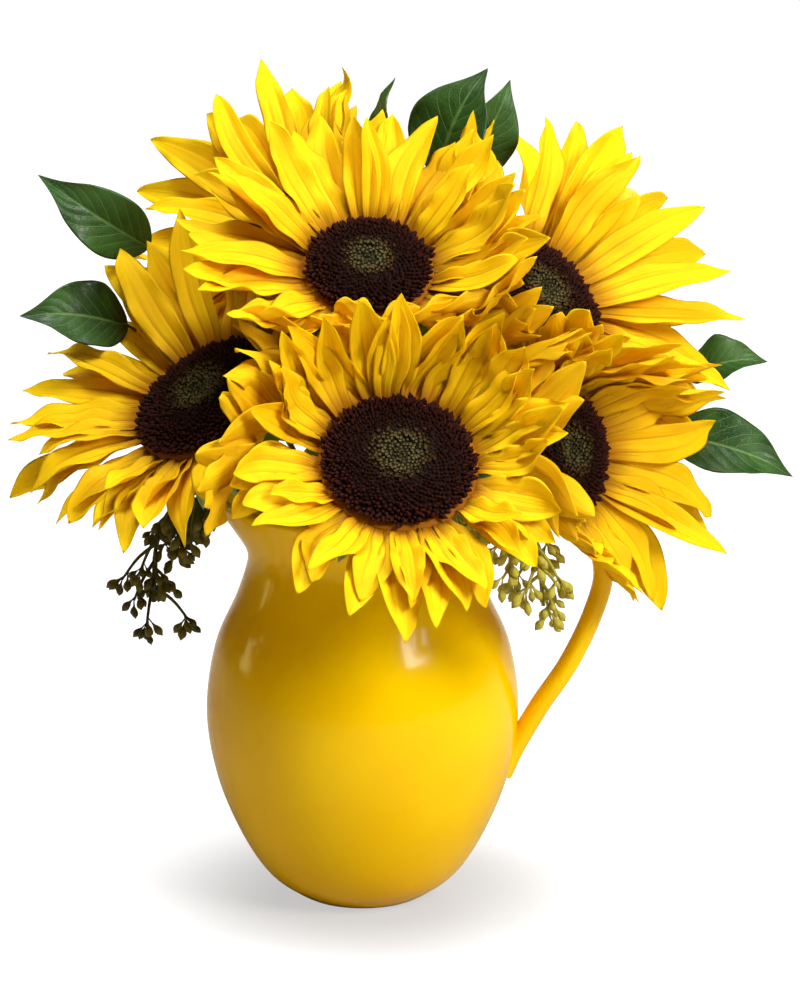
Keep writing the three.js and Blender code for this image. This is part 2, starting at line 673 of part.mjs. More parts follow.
/** A seed capsule on its stalk, from a twig towards a direction. */
function capsule(from, direction) {
  const side = direction.clone().cross(vec(0.31, 0.52, 0.8)).normalize();
  const other = direction.clone().cross(side);
  const sections = CAPSULE_SHAPE.map(([height, radius]) => {
    const middle = from.clone().addScaledVector(direction, height);
    if (radius === 0) return [middle];
    return [0, 1, 2, 3].map((quarter) => middle.clone()
      .addScaledVector(side, radius * Math.cos(quarter * Math.PI / 2))
      .addScaledVector(other, radius * Math.sin(quarter * Math.PI / 2)));
  });
  return solid(loft(sections));
}

/** A seeded sprig: twigs leave the hanging stem on all sides, each with a bunch of capsules. */
function makeSeededSprig(sprig) {
  const draw = seeded(sprig.seed);
  const hanging = smoothLine(sprigRoute(sprig, FEET));
  const pieces = [sprigStem(sprig), leafBlade(sprig.leaf)];
  for (let i = 0; i < sprig.bunches; i += 1) {
    const along = sprig.from + ((1 - sprig.from) * (i + 0.5)) / sprig.bunches;
    const start = hanging.getPoint(along);
    const turn = i * GOLDEN_TURN + draw();
    const reach = between(draw, TWIG_REACH);
    const out = vec(Math.cos(turn), 0.7 * Math.sin(turn), -0.35).normalize();
    const end = start.clone().addScaledVector(out, reach);
    pieces.push(solid(rod([start, end], STALK_RADIUS, 4, 1)));
    for (let k = 0; k < sprig.capsules; k += 1) {
      const root = start.clone().lerp(end, 0.4 + (0.6 * k) / sprig.capsules);
      const swing = k * GOLDEN_TURN + draw();
      const spread = vec(Math.cos(swing), Math.sin(swing), -0.2 - 0.6 * draw());
      pieces.push(capsule(root, spread.addScaledVector(out, 0.5).normalize()));
    }
  }
  return joined(pieces);
}

// ---------------------------------------------------------------- the arrangement

const COLOURS = {
  pitcher: { color: 0xf2c60b, roughness: 0.15 },
  water: { color: 0xdfe9e4, roughness: 0.05, transparent: true, opacity: 0.4 },
  petals: { color: 0xf6c312, roughness: 0.6 },
  disc: { color: 0x3a2016, roughness: 0.9 },
  green: { color: 0x6f8f3a, roughness: 0.7 },
  leaf: { color: 0x1f4a2b, roughness: 0.45 },
  eucalyptus: { color: 0x7d8a3c, roughness: 0.6 },
};

const arrangement = new THREE.Group();

function addPart(name, body, look) {
  const material = new THREE.MeshStandardMaterial({ metalness: 0, ...COLOURS[look] });
  const mesh = new THREE.Mesh(geometryOf(body), material);
  mesh.name = name;
  arrangement.add(mesh);
}

BLOOMS.forEach((bloom) => {
  bloom.frame = headFrame(bloom);
});
BLOOMS.forEach((bloom) => {
  bloom.planes = cellPlanes(bloom, BLOOMS);
});

addPart("pitcher", makePitcher(), "pitcher");
addPart("water", makeWater([
  ...BLOOMS.map((bloom) => bloomStem(bloom, TOUCH)),
  ...[...LEAF_SPRIGS, ...SEEDED_SPRIGS].map((sprig) => sprigStem(sprig, TOUCH)),
]), "water");
BLOOMS.forEach((bloom) => {
  addPart(`sunflower_${bloom.name}_stem`, makeGreen(bloom), "green");
  addPart(`sunflower_${bloom.name}_petals`, makePetals(bloom), "petals");
  addPart(`sunflower_${bloom.name}_disc`, makeDisc(bloom), "disc");
});

LEAF_SPRIGS.forEach((sprig) => addPart(sprig.name, makeLeafSprig(sprig), "leaf"));
SEEDED_SPRIGS.forEach((sprig) => addPart(sprig.name, makeSeededSprig(sprig), "eucalyptus"));

export default arrangement;
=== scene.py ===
# %% [markdown]
# # Sunflowers in a glazed pitcher
#
# Seven cut sunflowers, some lemon leaf and two sprigs of seeded eucalyptus stand in a yellow
# pitcher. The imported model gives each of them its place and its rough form. This lesson makes the
# fine forms and the finishes: ribbed petals, discs of florets, hairs on the stems, veined leaves,
# capsules on their stalks, and a deep, wet-looking glaze.
#
# The lists below are in millimetres, as a maker would measure the piece. A mesh is scaled to
# metres at the moment it is made.

# %% Load the frame and keep its box
import math

import bpy
import numpy as np
from mathutils import Matrix, Vector


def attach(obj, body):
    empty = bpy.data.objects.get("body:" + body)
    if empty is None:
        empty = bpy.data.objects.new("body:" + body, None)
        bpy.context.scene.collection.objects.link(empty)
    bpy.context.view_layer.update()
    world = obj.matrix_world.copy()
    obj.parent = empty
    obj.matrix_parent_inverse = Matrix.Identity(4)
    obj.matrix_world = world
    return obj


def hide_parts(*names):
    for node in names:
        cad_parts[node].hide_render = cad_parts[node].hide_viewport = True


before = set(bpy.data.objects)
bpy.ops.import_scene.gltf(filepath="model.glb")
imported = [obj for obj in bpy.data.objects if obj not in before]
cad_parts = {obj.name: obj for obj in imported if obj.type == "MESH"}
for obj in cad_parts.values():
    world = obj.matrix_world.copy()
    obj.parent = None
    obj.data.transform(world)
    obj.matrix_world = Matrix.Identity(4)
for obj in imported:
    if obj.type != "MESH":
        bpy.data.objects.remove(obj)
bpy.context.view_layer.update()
MM = 0.001
TAU = 2 * math.pi

# %% [markdown]
# ## Camera, floor and light
#
# A still life in a studio is shot from a little above with a long lens, so that the pitcher does
# not lean. One big soft lamp high on the right does most of the work. One overhead and one behind
# keep the edges of the petals bright. A narrow one on the left draws the long highlight that tells
# the eye that the pitcher is glossy.

# %% Camera
CAMERA = {"elevation": 14, "distance": 1800, "target": (18, 0, 194.45), "frame_height": 475}

elevation = math.radians(CAMERA["elevation"])
view_from = Vector((0, -math.cos(elevation), math.sin(elevation)))
camera_data = bpy.data.cameras.new("camera")
camera_data.sensor_fit = "VERTICAL"
camera_data.sensor_height = 36
camera_data.lens = camera_data.sensor_height * CAMERA["distance"] / CAMERA["frame_height"]
camera_data.clip_end = 50
camera = bpy.data.objects.new("camera", camera_data)
camera.location = (Vector(CAMERA["target"]) + view_from * CAMERA["distance"]) * MM
camera.rotation_euler = view_from.to_track_quat("Z", "Y").to_euler()
bpy.context.scene.collection.objects.link(camera)
bpy.context.scene.camera = camera
bpy.context.scene.view_settings.view_transform = "Standard"
print(f"lens {camera_data.lens:.1f} mm")

# %% Lamps and sky
LAMPS = [
    # name, where it hangs, where it points, width and height, watts, colour
    ("key", (1700, -1500, 1700), (0, 0, 180), (1000, 1000), 78, (1.0, 0.985, 0.96)),
    ("top", (-100, -300, 2200), (0, 0, 250), (900, 900), 42, (1.0, 0.99, 0.97)),
    ("strip", (-1600, 300, 600), (0, 0, 150), (380, 900), 6, (0.95, 0.9, 0.3)),
    ("back", (500, 2100, 1100), (0, 0, 200), (1200, 1200), 22, (1.0, 0.97, 0.92)),
]
SKY = {"lights": 0.09, "seen": 1.0, "glow": (1.0, 0.72, 0.48), "white": (1.0, 1.0, 1.0)}


def hang_lamp(name, place, towards, size, watts, colour):
    data = bpy.data.lights.new(name, "AREA")
    data.shape = "RECTANGLE"
    data.size, data.size_y = (side * MM for side in size)
    data.energy = watts
    data.color = colour
    lamp = bpy.data.objects.new(name, data)
    lamp.location = Vector(place) * MM
    lamp.rotation_euler = (Vector(place) - Vector(towards)).to_track_quat("Z", "Y").to_euler()
    bpy.context.scene.collection.objects.link(lamp)


for lamp in LAMPS:
    hang_lamp(*lamp)
bpy.data.objects["strip"].visible_diffuse = False      # it only draws the streak in the glaze
world = bpy.data.worlds.new("sky")
world.use_nodes = True
background = world.node_tree.nodes["Background"]
bpy.context.scene.world = world
print(len(LAMPS), "lamps")

# %% [markdown]
# ## Two small helpers for node trees
#
# Materials and Geometry Nodes are both trees of nodes. `add_node` makes one node, sets its
# options and its inputs, and links an input when it is handed another node's output. `maths`
# is the same for a single sum, since those are the most common nodes of all.

# %% Node helpers
def add_node(tree, kind, inputs=None, **options):
    made = tree.nodes.new(kind)
    for key, value in options.items():
        setattr(made, key, value)
    for key, value in (inputs or {}).items():
        if isinstance(value, bpy.types.NodeSocket):
            tree.links.new(value, made.inputs[key])
        else:
            made.inputs[key].default_value = value
    return made


def maths(tree, operation, *values):
    made = add_node(tree, "ShaderNodeMath", dict(enumerate(values)), operation=operation)
    return made.outputs[0]


def blend_colours(tree, share, first, second, blend_type="MIX"):
    made = add_node(tree, "ShaderNodeMix", {0: share, 6: first, 7: second},
                    data_type="RGBA", blend_type=blend_type)
    return made.outputs[2]


def ramp(tree, value, stops):
    """A colour ramp over (position, colour) stops."""
    made = add_node(tree, "ShaderNodeValToRGB", {0: value})
    elements = made.color_ramp.elements
    while len(elements) < len(stops):
        elements.new(0.5)
    for element, (position, colour) in zip(elements, stops):
        element.position = position
        element.color = colour
    return made.outputs["Color"]


def ink(code):
    """The linear colour of a six-digit web colour."""
    parts = [int(code[i:i + 2], 16) / 255 for i in (0, 2, 4)]
    linear = [p / 12.92 if p <= 0.04045 else ((p + 0.055) / 1.055) ** 2.4 for p in parts]
    return (*linear, 1)


def new_material(name, **sockets):
    """A material with a Principled shader, whose plain numbers sit on its own sockets."""
    material = bpy.data.materials.new(name)
    material.use_nodes = True
    shader = material.node_tree.nodes["Principled BSDF"]
    for key, value in sockets.items():
        shader.inputs[key.replace("_", " ")].default_value = value
    return material, material.node_tree, shader


print("node helpers ready")

# %% [markdown]
# A white sweep in a studio is lit by lamps of its own, which hardly touch the object. The same is
# done here with the light path: the camera sees a white sky and a white floor, while the object
# gets only a little warm light from them and keeps its shade.

# %% Sky strength
seen = add_node(world.node_tree, "ShaderNodeLightPath").outputs["Is Camera Ray"]
strength = add_node(world.node_tree, "ShaderNodeMapRange", {
    0: seen, 3: SKY["lights"], 4: SKY["seen"]}).outputs[0]
world.node_tree.links.new(strength, background.inputs["Strength"])
world.node_tree.links.new(blend_colours(
    world.node_tree, seen, (*SKY["glow"], 1), (*SKY["white"], 1)), background.inputs["Color"])
print("sky lights with", SKY["lights"])

# %% [markdown]
# ## Helpers for meshes
#
# Most plant parts are one of two forms: a round rod along a bent line, or a thin blade with an
# upper and a lower face. A rod is a grid of rings. A blade is two grids that share their rim, so
# that it is closed and still has a sharp edge. Both come back as points and faces, and several
# of them can be joined into one piece.

# %% Points, draws and smooth lines
def vec(*values):
    return np.array(values, float)


def unit(v):
    return v / np.linalg.norm(v)


def smooth(t):
    u = np.clip(t, 0, 1)
    return u * u * (3 - 2 * u)


def seeded(seed):
    """A repeatable stream of draws from 0 to 1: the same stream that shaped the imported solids."""
    state = seed
    while True:
        state = (state * 1664525 + 1013904223) % 4294967296
        yield state / 4294967296


def between(draw, low_high):
    low, high = low_high
    return low + (high - low) * next(draw)


def smooth_line(points, count):
    """Points along a smooth curve (Catmull-Rom) through the given points, evenly spread."""
    given = [vec(*p) for p in points]
    ends = [2 * given[0] - given[1], *given, 2 * given[-1] - given[-2]]
    dense = []
    for a, b, c, d in zip(ends, ends[1:], ends[2:], ends[3:]):
        for t in np.linspace(0, 1, 40, endpoint=False):
            dense.append(0.5 * (2 * b + (c - a) * t + (2 * a - 5 * b + 4 * c - d) * t ** 2
                                + (3 * b - a - 3 * c + d) * t ** 3))
    dense = np.array([*dense, given[-1]])
    lengths = np.concatenate([[0], np.cumsum(np.linalg.norm(np.diff(dense, axis=0), axis=1))])
    wanted = np.linspace(0, lengths[-1], count)
    return np.stack([np.interp(wanted, lengths, dense[:, k]) for k in range(3)], 1)


print("line helpers ready")

# %% Rods
def frames_along(line):
    """For each point of a line: its direction and two directions across, carried along unturned."""
    along = np.gradient(line, axis=0)
    along /= np.linalg.norm(along, axis=1)[:, None]
    start = unit(np.cross(along[0], vec(0.31, 0.52, 0.8)))
    across = [start]
    for direction in along[1:]:
        carried = across[-1] - direction * (across[-1] @ direction)
        across.append(unit(carried))
    across = np.array(across)
    return along, across, np.cross(along, across)


def grid_faces(rows, columns, closed=False):
    """The faces of a grid of points, with its last column joined to its first where closed."""
    faces = []
    for r in range(rows - 1):
        for c in range(columns if closed else columns - 1):
            d = (c + 1) % columns
            faces.append((r * columns + c, r * columns + d,
                          (r + 1) * columns + d, (r + 1) * columns + c))
    return faces


def rod(line, radii, sides, squash=1.0, across=None):
    """A closed rod along a line. Radii is one number or one for each point."""
    line = np.asarray(line, float)
    along, carried, other = frames_along(line)
    if across is None:
        across = carried
    else:
        across = np.broadcast_to(across, line.shape)
        other = np.cross(along, across)
    turns = np.arange(sides) * TAU / sides
    radii = np.broadcast_to(radii, (len(line),))[:, None, None]
    ring = (np.cos(turns)[None, :, None] * across[:, None, :]
            + squash * np.sin(turns)[None, :, None] * other[:, None, :])
    points = (line[:, None, :] + radii * ring).reshape(-1, 3)
    faces = grid_faces(len(line), sides, closed=True)
    last = (len(line) - 1) * sides
    faces.append(tuple(reversed(range(sides))))
    faces.append(tuple(range(last, last + sides)))
    return points, faces


print("a rod of 12 sides has", len(rod([(0, 0, 0), (0, 0, 9)], 1, 12)[1]), "faces in a step")

# %% Blades
def blade(upper, lower):
    """A closed thin blade from two grids (rows by columns) that meet at both sides and the tip."""
    rows, columns, _ = upper.shape
    own = np.arange(rows * columns).reshape(rows, columns)
    under = own.copy()
    count = rows * columns
    for r in range(rows - 1):
        for c in range(1, columns - 1):
            under[r, c] = count
            count += 1
    points = np.concatenate([upper.reshape(-1, 3), lower[:-1, 1:-1].reshape(-1, 3)])
    faces = []
    for r in range(rows - 1):
        for c in range(columns - 1):
            faces.append((own[r, c], own[r, c + 1], own[r + 1, c + 1], own[r + 1, c]))
            faces.append((under[r, c], under[r + 1, c], under[r + 1, c + 1], under[r, c + 1]))
    for c in range(columns - 1):
        faces.append(tuple(dict.fromkeys(
            (own[0, c], under[0, c], under[0, c + 1], own[0, c + 1]))))
    is_under = np.zeros(count)
    is_under[rows * columns:] = 1
    grid_u, grid_v = np.meshgrid(np.linspace(0, 1, columns), np.linspace(0, 1, rows))
    uv = np.stack([grid_u, grid_v], 2)
    uv = np.concatenate([uv.reshape(-1, 2), uv[:-1, 1:-1].reshape(-1, 2)])
    faces = [tuple(int(i) for i in face) for face in faces]
    return {"points": points, "faces": faces, "uv": uv, "under": is_under}


print("blade helper ready")

# %% Parts and pieces
def joined(parts):
    """Several parts as one: points, faces, uv and any values that every part gives by point."""
    whole = {"points": [], "faces": []}
    start = 0
    for part in parts:
        whole["faces"] += [tuple(i + start for i in face) for face in part["faces"]]
        start += len(part["points"])
    for key in parts[0]:
        if key != "faces":
            whole[key] = np.concatenate([np.asarray(part[key], float) for part in parts])
    return whole


def as_part(form, **values):
    """A rod's points and faces as a part, with each value the same at every point."""
    points, faces = form
    count = len(points)
    return {"points": points, "faces": faces, "uv": np.zeros((count, 2)),
            **{key: np.full(count, value, float) for key, value in values.items()}}


def make_piece(name, part, material):
    """A mesh object in metres from a part in millimetres, with its uv map and its values."""
    mesh = bpy.data.meshes.new(name)
    mesh.from_pydata((np.asarray(part["points"]) * MM).tolist(), [], part["faces"])
    mesh.materials.append(material)
    mesh.polygons.foreach_set("use_smooth", [True] * len(mesh.polygons))
    corners = np.zeros(len(mesh.loops), np.int32)
    mesh.loops.foreach_get("vertex_index", corners)
    if "uv" in part:
        layer = mesh.uv_layers.new(name="UVMap")
        layer.data.foreach_set("uv", part["uv"][corners].astype(np.float32).ravel())
    for key, values in part.items():
        if key not in ("points", "faces", "uv"):
            attribute = mesh.attributes.new(key, "FLOAT", "POINT")
            attribute.data.foreach_set("value", np.asarray(values, np.float32))
    mesh.update()
    piece = bpy.data.objects.new(name, mesh)
    bpy.context.scene.collection.objects.link(piece)
    return piece


def stand_for(piece, slot, *nodes):
    """The piece belongs to the bouquet and stands for CAD nodes, which are hidden. The slot is not
    used.
    """
    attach(piece, "root")
    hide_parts(*nodes)
    return piece


print("mesh helpers ready")

# %% [markdown]
# ## The floor
#
# A plain pale sweep, wide enough to fill the view. It is stage, and no part of the object. Its glow
# for the camera dims towards the pitcher's foot, which paints a soft shadow round the base.

# %% Floor
FLOOR_SIDE = 14000

floor_paper, tree, shader = new_material(
    "floor_paper", Roughness=0.9, Specular_IOR_Level=0.1, Emission_Strength=1.0)
seen = add_node(tree, "ShaderNodeLightPath").outputs["Is Camera Ray"]
away = add_node(tree, "ShaderNodeVectorMath", {
    0: add_node(tree, "ShaderNodeTexCoord").outputs["Object"]}, operation="LENGTH").outputs[1]
# Painted shadow: the glow dims from 1.0 far out to 0.54 at the pitcher's foot, a soft shadow round
# the base.
glow = add_node(tree, "ShaderNodeMapRange", {0: away, 1: 0.04, 2: 0.13, 3: 0.54, 4: 1.0},
                interpolation_type="SMOOTHSTEP").outputs[0]
tree.links.new(maths(tree, "MULTIPLY", glow, seen), shader.inputs["Emission Color"])
tree.links.new(blend_colours(tree, seen, (0.54, 0.48, 0.4, 1), (0.18, 0.18, 0.18, 1)),
               shader.inputs["Base Color"])
half = FLOOR_SIDE / 2
floor = make_piece("floor", {
    "points": [(-half, -half, 0), (half, -half, 0), (half, half, 0), (-half, half, 0)],
    "faces": [(0, 1, 2, 3)],
}, floor_paper)
print("floor", FLOOR_SIDE, "mm wide")

# %% [markdown]
# ## The pitcher
#
# A thrown pitcher is a turned form, so its wall is an outline spun round the upright axis. While
# the clay is soft the potter draws the rim out into a spout and presses on a pulled handle. The
# same steps make the mesh: spin the outline, pull the rim out at one side, and join on a rod that
# flares where it meets the wall.

# %% Pitcher sizes
PITCHER_OUTLINE = [
    (31, 0), (47, 12.5), (60, 33.5), (70.5, 61), (75, 92),
    (70.5, 124), (60, 148.5), (54.2, 168), (56, 179), (60.5, 192),
]
WALL = 5
INNER_FLOOR = 7
SPOUT = {"reach": 10, "rise": 4, "half_angle": 0.8, "from": 166, "to": 192}
HANDLE_PATH = [
    (66, 61), (70.5, 67.5), (77, 78.5), (86, 94), (99, 114), (110, 138), (115, 159),
    (109, 177), (93, 186.5), (74, 186.5), (55, 181),
]
HANDLE = {"width": 14, "depth": 9.6, "flare": 0.5, "flare_length": 8, "rows": 90, "sides": 32}
RIM_ROUNDING = {"steps": 12, "lift": 0.4}
CRISP_ANGLE = 38
PITCHER_SIDES = 120
OUTLINE_ROWS = 64


print("the belly is", 2 * max(radius for radius, _ in PITCHER_OUTLINE), "mm across")

# %% Outline, spout and spinning
def outline_curve():
    """The outside outline as evenly spaced (radius, height) points, with their inward normals."""
    line = smooth_line([(r, 0, z) for r, z in PITCHER_OUTLINE], OUTLINE_ROWS)[:, [0, 2]]
    along = np.gradient(line, axis=0)
    along /= np.linalg.norm(along, axis=1)[:, None]
    return line, np.stack([-along[:, 1], along[:, 0]], 1)


def pull_spout(points):
    """Draws the rim out at the spout, in place."""
    radius = np.hypot(points[:, 0], points[:, 1])
    turn = np.minimum(np.abs(np.arctan2(points[:, 1], -points[:, 0])) / SPOUT["half_angle"], 1)
    rise = smooth((points[:, 2] - SPOUT["from"]) / (SPOUT["to"] - SPOUT["from"]))
    pull = np.where(radius > 1, np.cos(turn * math.pi / 2) ** 2 * rise, 0)
    grow = 1 + SPOUT["reach"] * pull / np.maximum(radius, 1)
    points[:, :2] *= grow[:, None]
    points[:, 2] += SPOUT["rise"] * pull
    return points


def spun(profile, sides):
    """A closed form from (radius, height) points, spun round the upright axis, poles included."""
    turns = np.arange(sides) * TAU / sides
    rings = [(r, z) for r, z in profile[1:-1]]
    points = [(0, 0, profile[0][1])]
    for r, z in rings:
        points += [(r * math.cos(a), r * math.sin(a), z) for a in turns]
    points.append((0, 0, profile[-1][1]))
    faces = [tuple(i + 1 for i in face) for face in grid_faces(len(rings), sides, closed=True)]
    last = 1 + (len(rings) - 1) * sides
    top = len(points) - 1
    for s in range(sides):
        t = (s + 1) % sides
        faces.append((0, 1 + t, 1 + s))
        faces.append((last + s, last + t, top))
    return np.array(points, float), faces


print("outline helpers ready")

# %% Pitcher body
outside, inward = outline_curve()
rim_radius, rim_height = outside[-1]
rim_turns = np.linspace(-0.15 * math.pi, 1.1 * math.pi, RIM_ROUNDING["steps"])
rim = [(rim_radius - WALL / 2 + WALL / 2 * math.cos(a),
        rim_height + RIM_ROUNDING["lift"] + WALL / 2 * math.sin(a)) for a in rim_turns]
inner_low, inner_high = INNER_FLOOR + 6, rim_height - 3
inside = [tuple(p) for p in (outside + WALL * inward)[::-1] if inner_low < p[1] < inner_high]
foot = [(0, 0.8), (22, 0.8), (26, 0.7), (27.5, 0.05), (29.5, 0), (30.6, 0.25)]
wall_profile = [
    *foot,
    *[tuple(p) for p in outside[1:-2]],
    *rim,
    *inside,
    (37, INNER_FLOOR + 2.4), (31, INNER_FLOOR + 0.4), (22, INNER_FLOOR), (0, INNER_FLOOR),
]
body_points, body_faces = spun(wall_profile, PITCHER_SIDES)
body_points = pull_spout(body_points)
print(len(body_points), "points in the body, with its rim at", rim_height, "mm")

# %% Pitcher handle
handle_line = smooth_line([(x, 0, z) for x, z in HANDLE_PATH], HANDLE["rows"])
run = np.linspace(0, 1, len(handle_line))
handle_length = np.sum(np.linalg.norm(np.diff(handle_line, axis=0), axis=1))
to_end = np.minimum(run, 1 - run) * handle_length
flare = 1 + HANDLE["flare"] * np.exp(-(to_end / HANDLE["flare_length"]) ** 1.5)
handle_points, handle_faces = rod(
    handle_line, HANDLE["width"] / 2 * flare, HANDLE["sides"],
    squash=HANDLE["depth"] / HANDLE["width"], across=vec(0, 1, 0))
radius = np.hypot(handle_points[:, 0], handle_points[:, 1])
wall_middle = np.interp(handle_points[:, 2], outside[:, 1], outside[:, 0]) - WALL / 2
handle_points[:, :2] *= (np.maximum(wall_middle, radius) / radius)[:, None]
print(len(handle_points), "points in the handle,", round(handle_length), "mm long")

# %% [markdown]
# The glaze is the pitcher's whole character. Real glaze is coloured glass: it lies thick in hollows
# and thin on edges, its colour drifts a little over the surface, and its face is as smooth as
# water with a faint orange-peel ripple. So the colour varies over a wide noise, a thinner line runs
# along the rim, and a clear coat gives the sharp reflection over a softer one below.

# %% Glaze
GLAZE = {"colour": "fcd000", "deep": "f7c300", "thin": "fbd440", "clay": "b98a5e"}

glaze, tree, shader = new_material(
    "yellow_glaze", Coat_Weight=0.24, Coat_Roughness=0.07, Coat_IOR=1.33,
    Specular_IOR_Level=0.1)
place = add_node(tree, "ShaderNodeTexCoord").outputs["Object"]
height = add_node(tree, "ShaderNodeSeparateXYZ", {0: place}).outputs["Z"]
drift = add_node(tree, "ShaderNodeTexNoise", {
    "Vector": place, "Scale": 14.0, "Detail": 3.0, "Roughness": 0.5}).outputs["Fac"]
speck = add_node(tree, "ShaderNodeTexNoise", {
    "Vector": place, "Scale": 520.0, "Detail": 2.0}).outputs["Fac"]
deep_share = add_node(tree, "ShaderNodeMapRange", {
    0: drift, 1: 0.38, 2: 0.72}).outputs[0]
colour = blend_colours(tree, deep_share, ink(GLAZE["colour"]), ink(GLAZE["deep"]))
rim_share = add_node(tree, "ShaderNodeMapRange", {
    0: height, 1: (rim_height + 1.6) * MM, 2: (rim_height + 4.2) * MM}).outputs[0]
colour = blend_colours(tree, maths(tree, "MULTIPLY", rim_share, 0.5), colour, ink(GLAZE["thin"]))
fleck = add_node(tree, "ShaderNodeMapRange", {0: speck, 1: 0.68, 2: 0.74, 4: 0.35}).outputs[0]
colour = blend_colours(tree, fleck, colour, ink(GLAZE["deep"]))
clay_share = add_node(tree, "ShaderNodeMapRange", {
    0: maths(tree, "ADD", height, maths(tree, "MULTIPLY", drift, 0.0012)),
    1: 0.0016, 2: 0.0010}).outputs[0]
colour = blend_colours(tree, clay_share, colour, ink(GLAZE["clay"]))
tree.links.new(colour, shader.inputs["Base Color"])
tree.links.new(add_node(tree, "ShaderNodeMapRange", {0: clay_share, 3: 0.16, 4: 0.8}).outputs[0],
               shader.inputs["Roughness"])
ripple = add_node(tree, "ShaderNodeTexNoise", {
    "Vector": place, "Scale": 60.0, "Detail": 1.0}).outputs["Fac"]
tree.links.new(add_node(tree, "ShaderNodeBump", {
    "Height": ripple, "Strength": 0.12, "Distance": 0.0015}).outputs[0],
    shader.inputs["Normal"])
print("glaze ready")

# %% [markdown]
# The handle is joined to the wall with an exact boolean, so that the two are one skin, and edges
# sharper than the set angle are kept crisp. The boolean is baked straight away: what is left is one
# plain mesh.

# %% Join the handle to the wall
def baked(piece):
    """The piece with its modifiers made part of its mesh."""
    shape = piece.evaluated_get(bpy.context.evaluated_depsgraph_get())
    mesh = bpy.data.meshes.new_from_object(shape)
    piece.modifiers.clear()
    piece.data = mesh
    return piece


pitcher = make_piece("pitcher_glazed", {"points": body_points, "faces": body_faces}, glaze)
handle = make_piece("handle_pulled", {"points": handle_points, "faces": handle_faces}, glaze)
join = pitcher.modifiers.new("join", "BOOLEAN")
join.operation, join.solver, join.object = "UNION", "EXACT", handle
bpy.context.view_layer.update()
baked(pitcher)
bpy.data.objects.remove(handle)
pitcher.data.set_sharp_from_angle(angle=math.radians(CRISP_ANGLE))
stand_for(pitcher, "yellow_glaze", "pitcher")
print(len(pitcher.data.polygons), "faces in the pitcher")

# %% [markdown]
# The water can hardly be seen between the stems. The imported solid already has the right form, so
# it stays and only gets a clear material.

# %% Water
water, tree, shader = new_material(
    "clear_water", Base_Color=(0.93, 0.97, 0.95, 1), Roughness=0.02, IOR=1.333,
    Transmission_Weight=1.0)
place = add_node(tree, "ShaderNodeTexCoord").outputs["Object"]
ripple = add_node(tree, "ShaderNodeTexNoise", {"Vector": place, "Scale": 90.0}).outputs["Fac"]
tree.links.new(add_node(tree, "ShaderNodeBump", {
    "Height": ripple, "Strength": 0.1, "Distance": 0.001}).outputs[0], shader.inputs["Normal"])
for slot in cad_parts["water"].material_slots:
    slot.material = water
print("water ready")

# %% [markdown]
# ## The blooms
#
# A sunflower is a whole head of flowers on one plate. Long yellow petals stand in layers round the
# rim of a disc. Each bloom is placed by the middle of its disc and the way it faces. The blooms
# crowd each other, so each has a cell of its own: one plane towards every neighbour, or a little
# leaning plane where one bloom lies over the next. A petal that grows towards such a plane turns
# up along it, as real petals do in a full vase.

# %% Bloom places
# Trim shortens the petals round a turn by a share, or lengthens them where that is below zero.
BLOOMS = [
    {"name": "front", "at": (17.6, -92, 236), "faces": (6, 48.7), "disc": 34, "seed": 11,
     "grow": 0.97, "trim": [(0, -0.2), (2.3, 0.22), (-2.2, 0.2)],
     "neck": (5, -31), "rim": (8, -49)},
    {"name": "top", "at": (3.8, -38, 315), "faces": (2, 52.5), "disc": 28, "seed": 23,
     "grow": 1.06, "trim": [(math.pi, 0.6), (0, 0.06)], "neck": (1, -9), "rim": (1, -12)},
    {"name": "left", "at": (-72.3, -40, 254), "faces": (-47, 51.4), "disc": 34, "seed": 37,
     "grow": 1.12, "trim": [(3.3, 0.24), (1.3, -0.18)], "neck": (-33, -13), "rim": (-42, -17)},
    {"name": "right", "at": (84, 4, 293), "faces": (49, 41), "disc": 33, "seed": 41,
     "grow": 1.2, "trim": [(-1.3, -0.25), (0.7, 0.14)], "spin": 0.28,
     "neck": (26, 6), "rim": (34, 8)},
    {"name": "low_right", "at": (94.4, -48, 230), "faces": (48.8, 16.4), "disc": 28.5, "seed": 59,
     "grow": 1.1, "trim": [(-1.7, -0.16), (2.8, 0.2)], "neck": (31, -19), "rim": (41, -24),
     "held_back": [((-0.75, -0.1, -0.65), (97, -75, 186))]},
    {"name": "back_left", "at": (-33, 58, 317), "faces": (-42, 52), "disc": 27, "seed": 67,
     "grow": 1.42, "trim": [(-0.4, 0.34), (2.3, 0.3)], "neck": (-12, 18), "rim": (-16, 24),
     "held_back": [((1, 0, 0.1), (3, 60, 340))]},
    {"name": "back", "at": (12, 108, 262), "faces": (172, 32), "disc": 32, "seed": 83,
     "grow": 1.05, "neck": (9, 31), "rim": (13, 42)},
]
print(len(BLOOMS), "blooms, with discs of", [2 * bloom["disc"] for bloom in BLOOMS], "mm")

# %% Sizes that all blooms share
LIES_OVER = {
    ("front", "low_right"): 0.5, ("front", "left"): 0.1, ("front", "top"): 0.2,
    ("top", "back_left"): 1.2, ("top", "left"): 0.9, ("top", "right"): 0.6, ("top", "back"): 0.4,
    ("left", "back_left"): 1.2, ("right", "back"): 1.0, ("back_left", "back"): 0.6,
}
DISC = {"below": 3, "dome": 7, "dimple": 2.2}
COLLAR = {"inner": 0.8, "outer": 2.5, "top": -3.3, "bottom": -6.3}
PETAL_ROOT = {"outside": 0.3, "height": -4.8}
CELL = {"margin": 1.6, "near": 11, "soft": 3, "crowd": 0.23}
GROWTH_STEPS = 24
SAG = 0.12
DROOP = 0.5
print(len(LIES_OVER), "pairs of blooms lie one over the other")

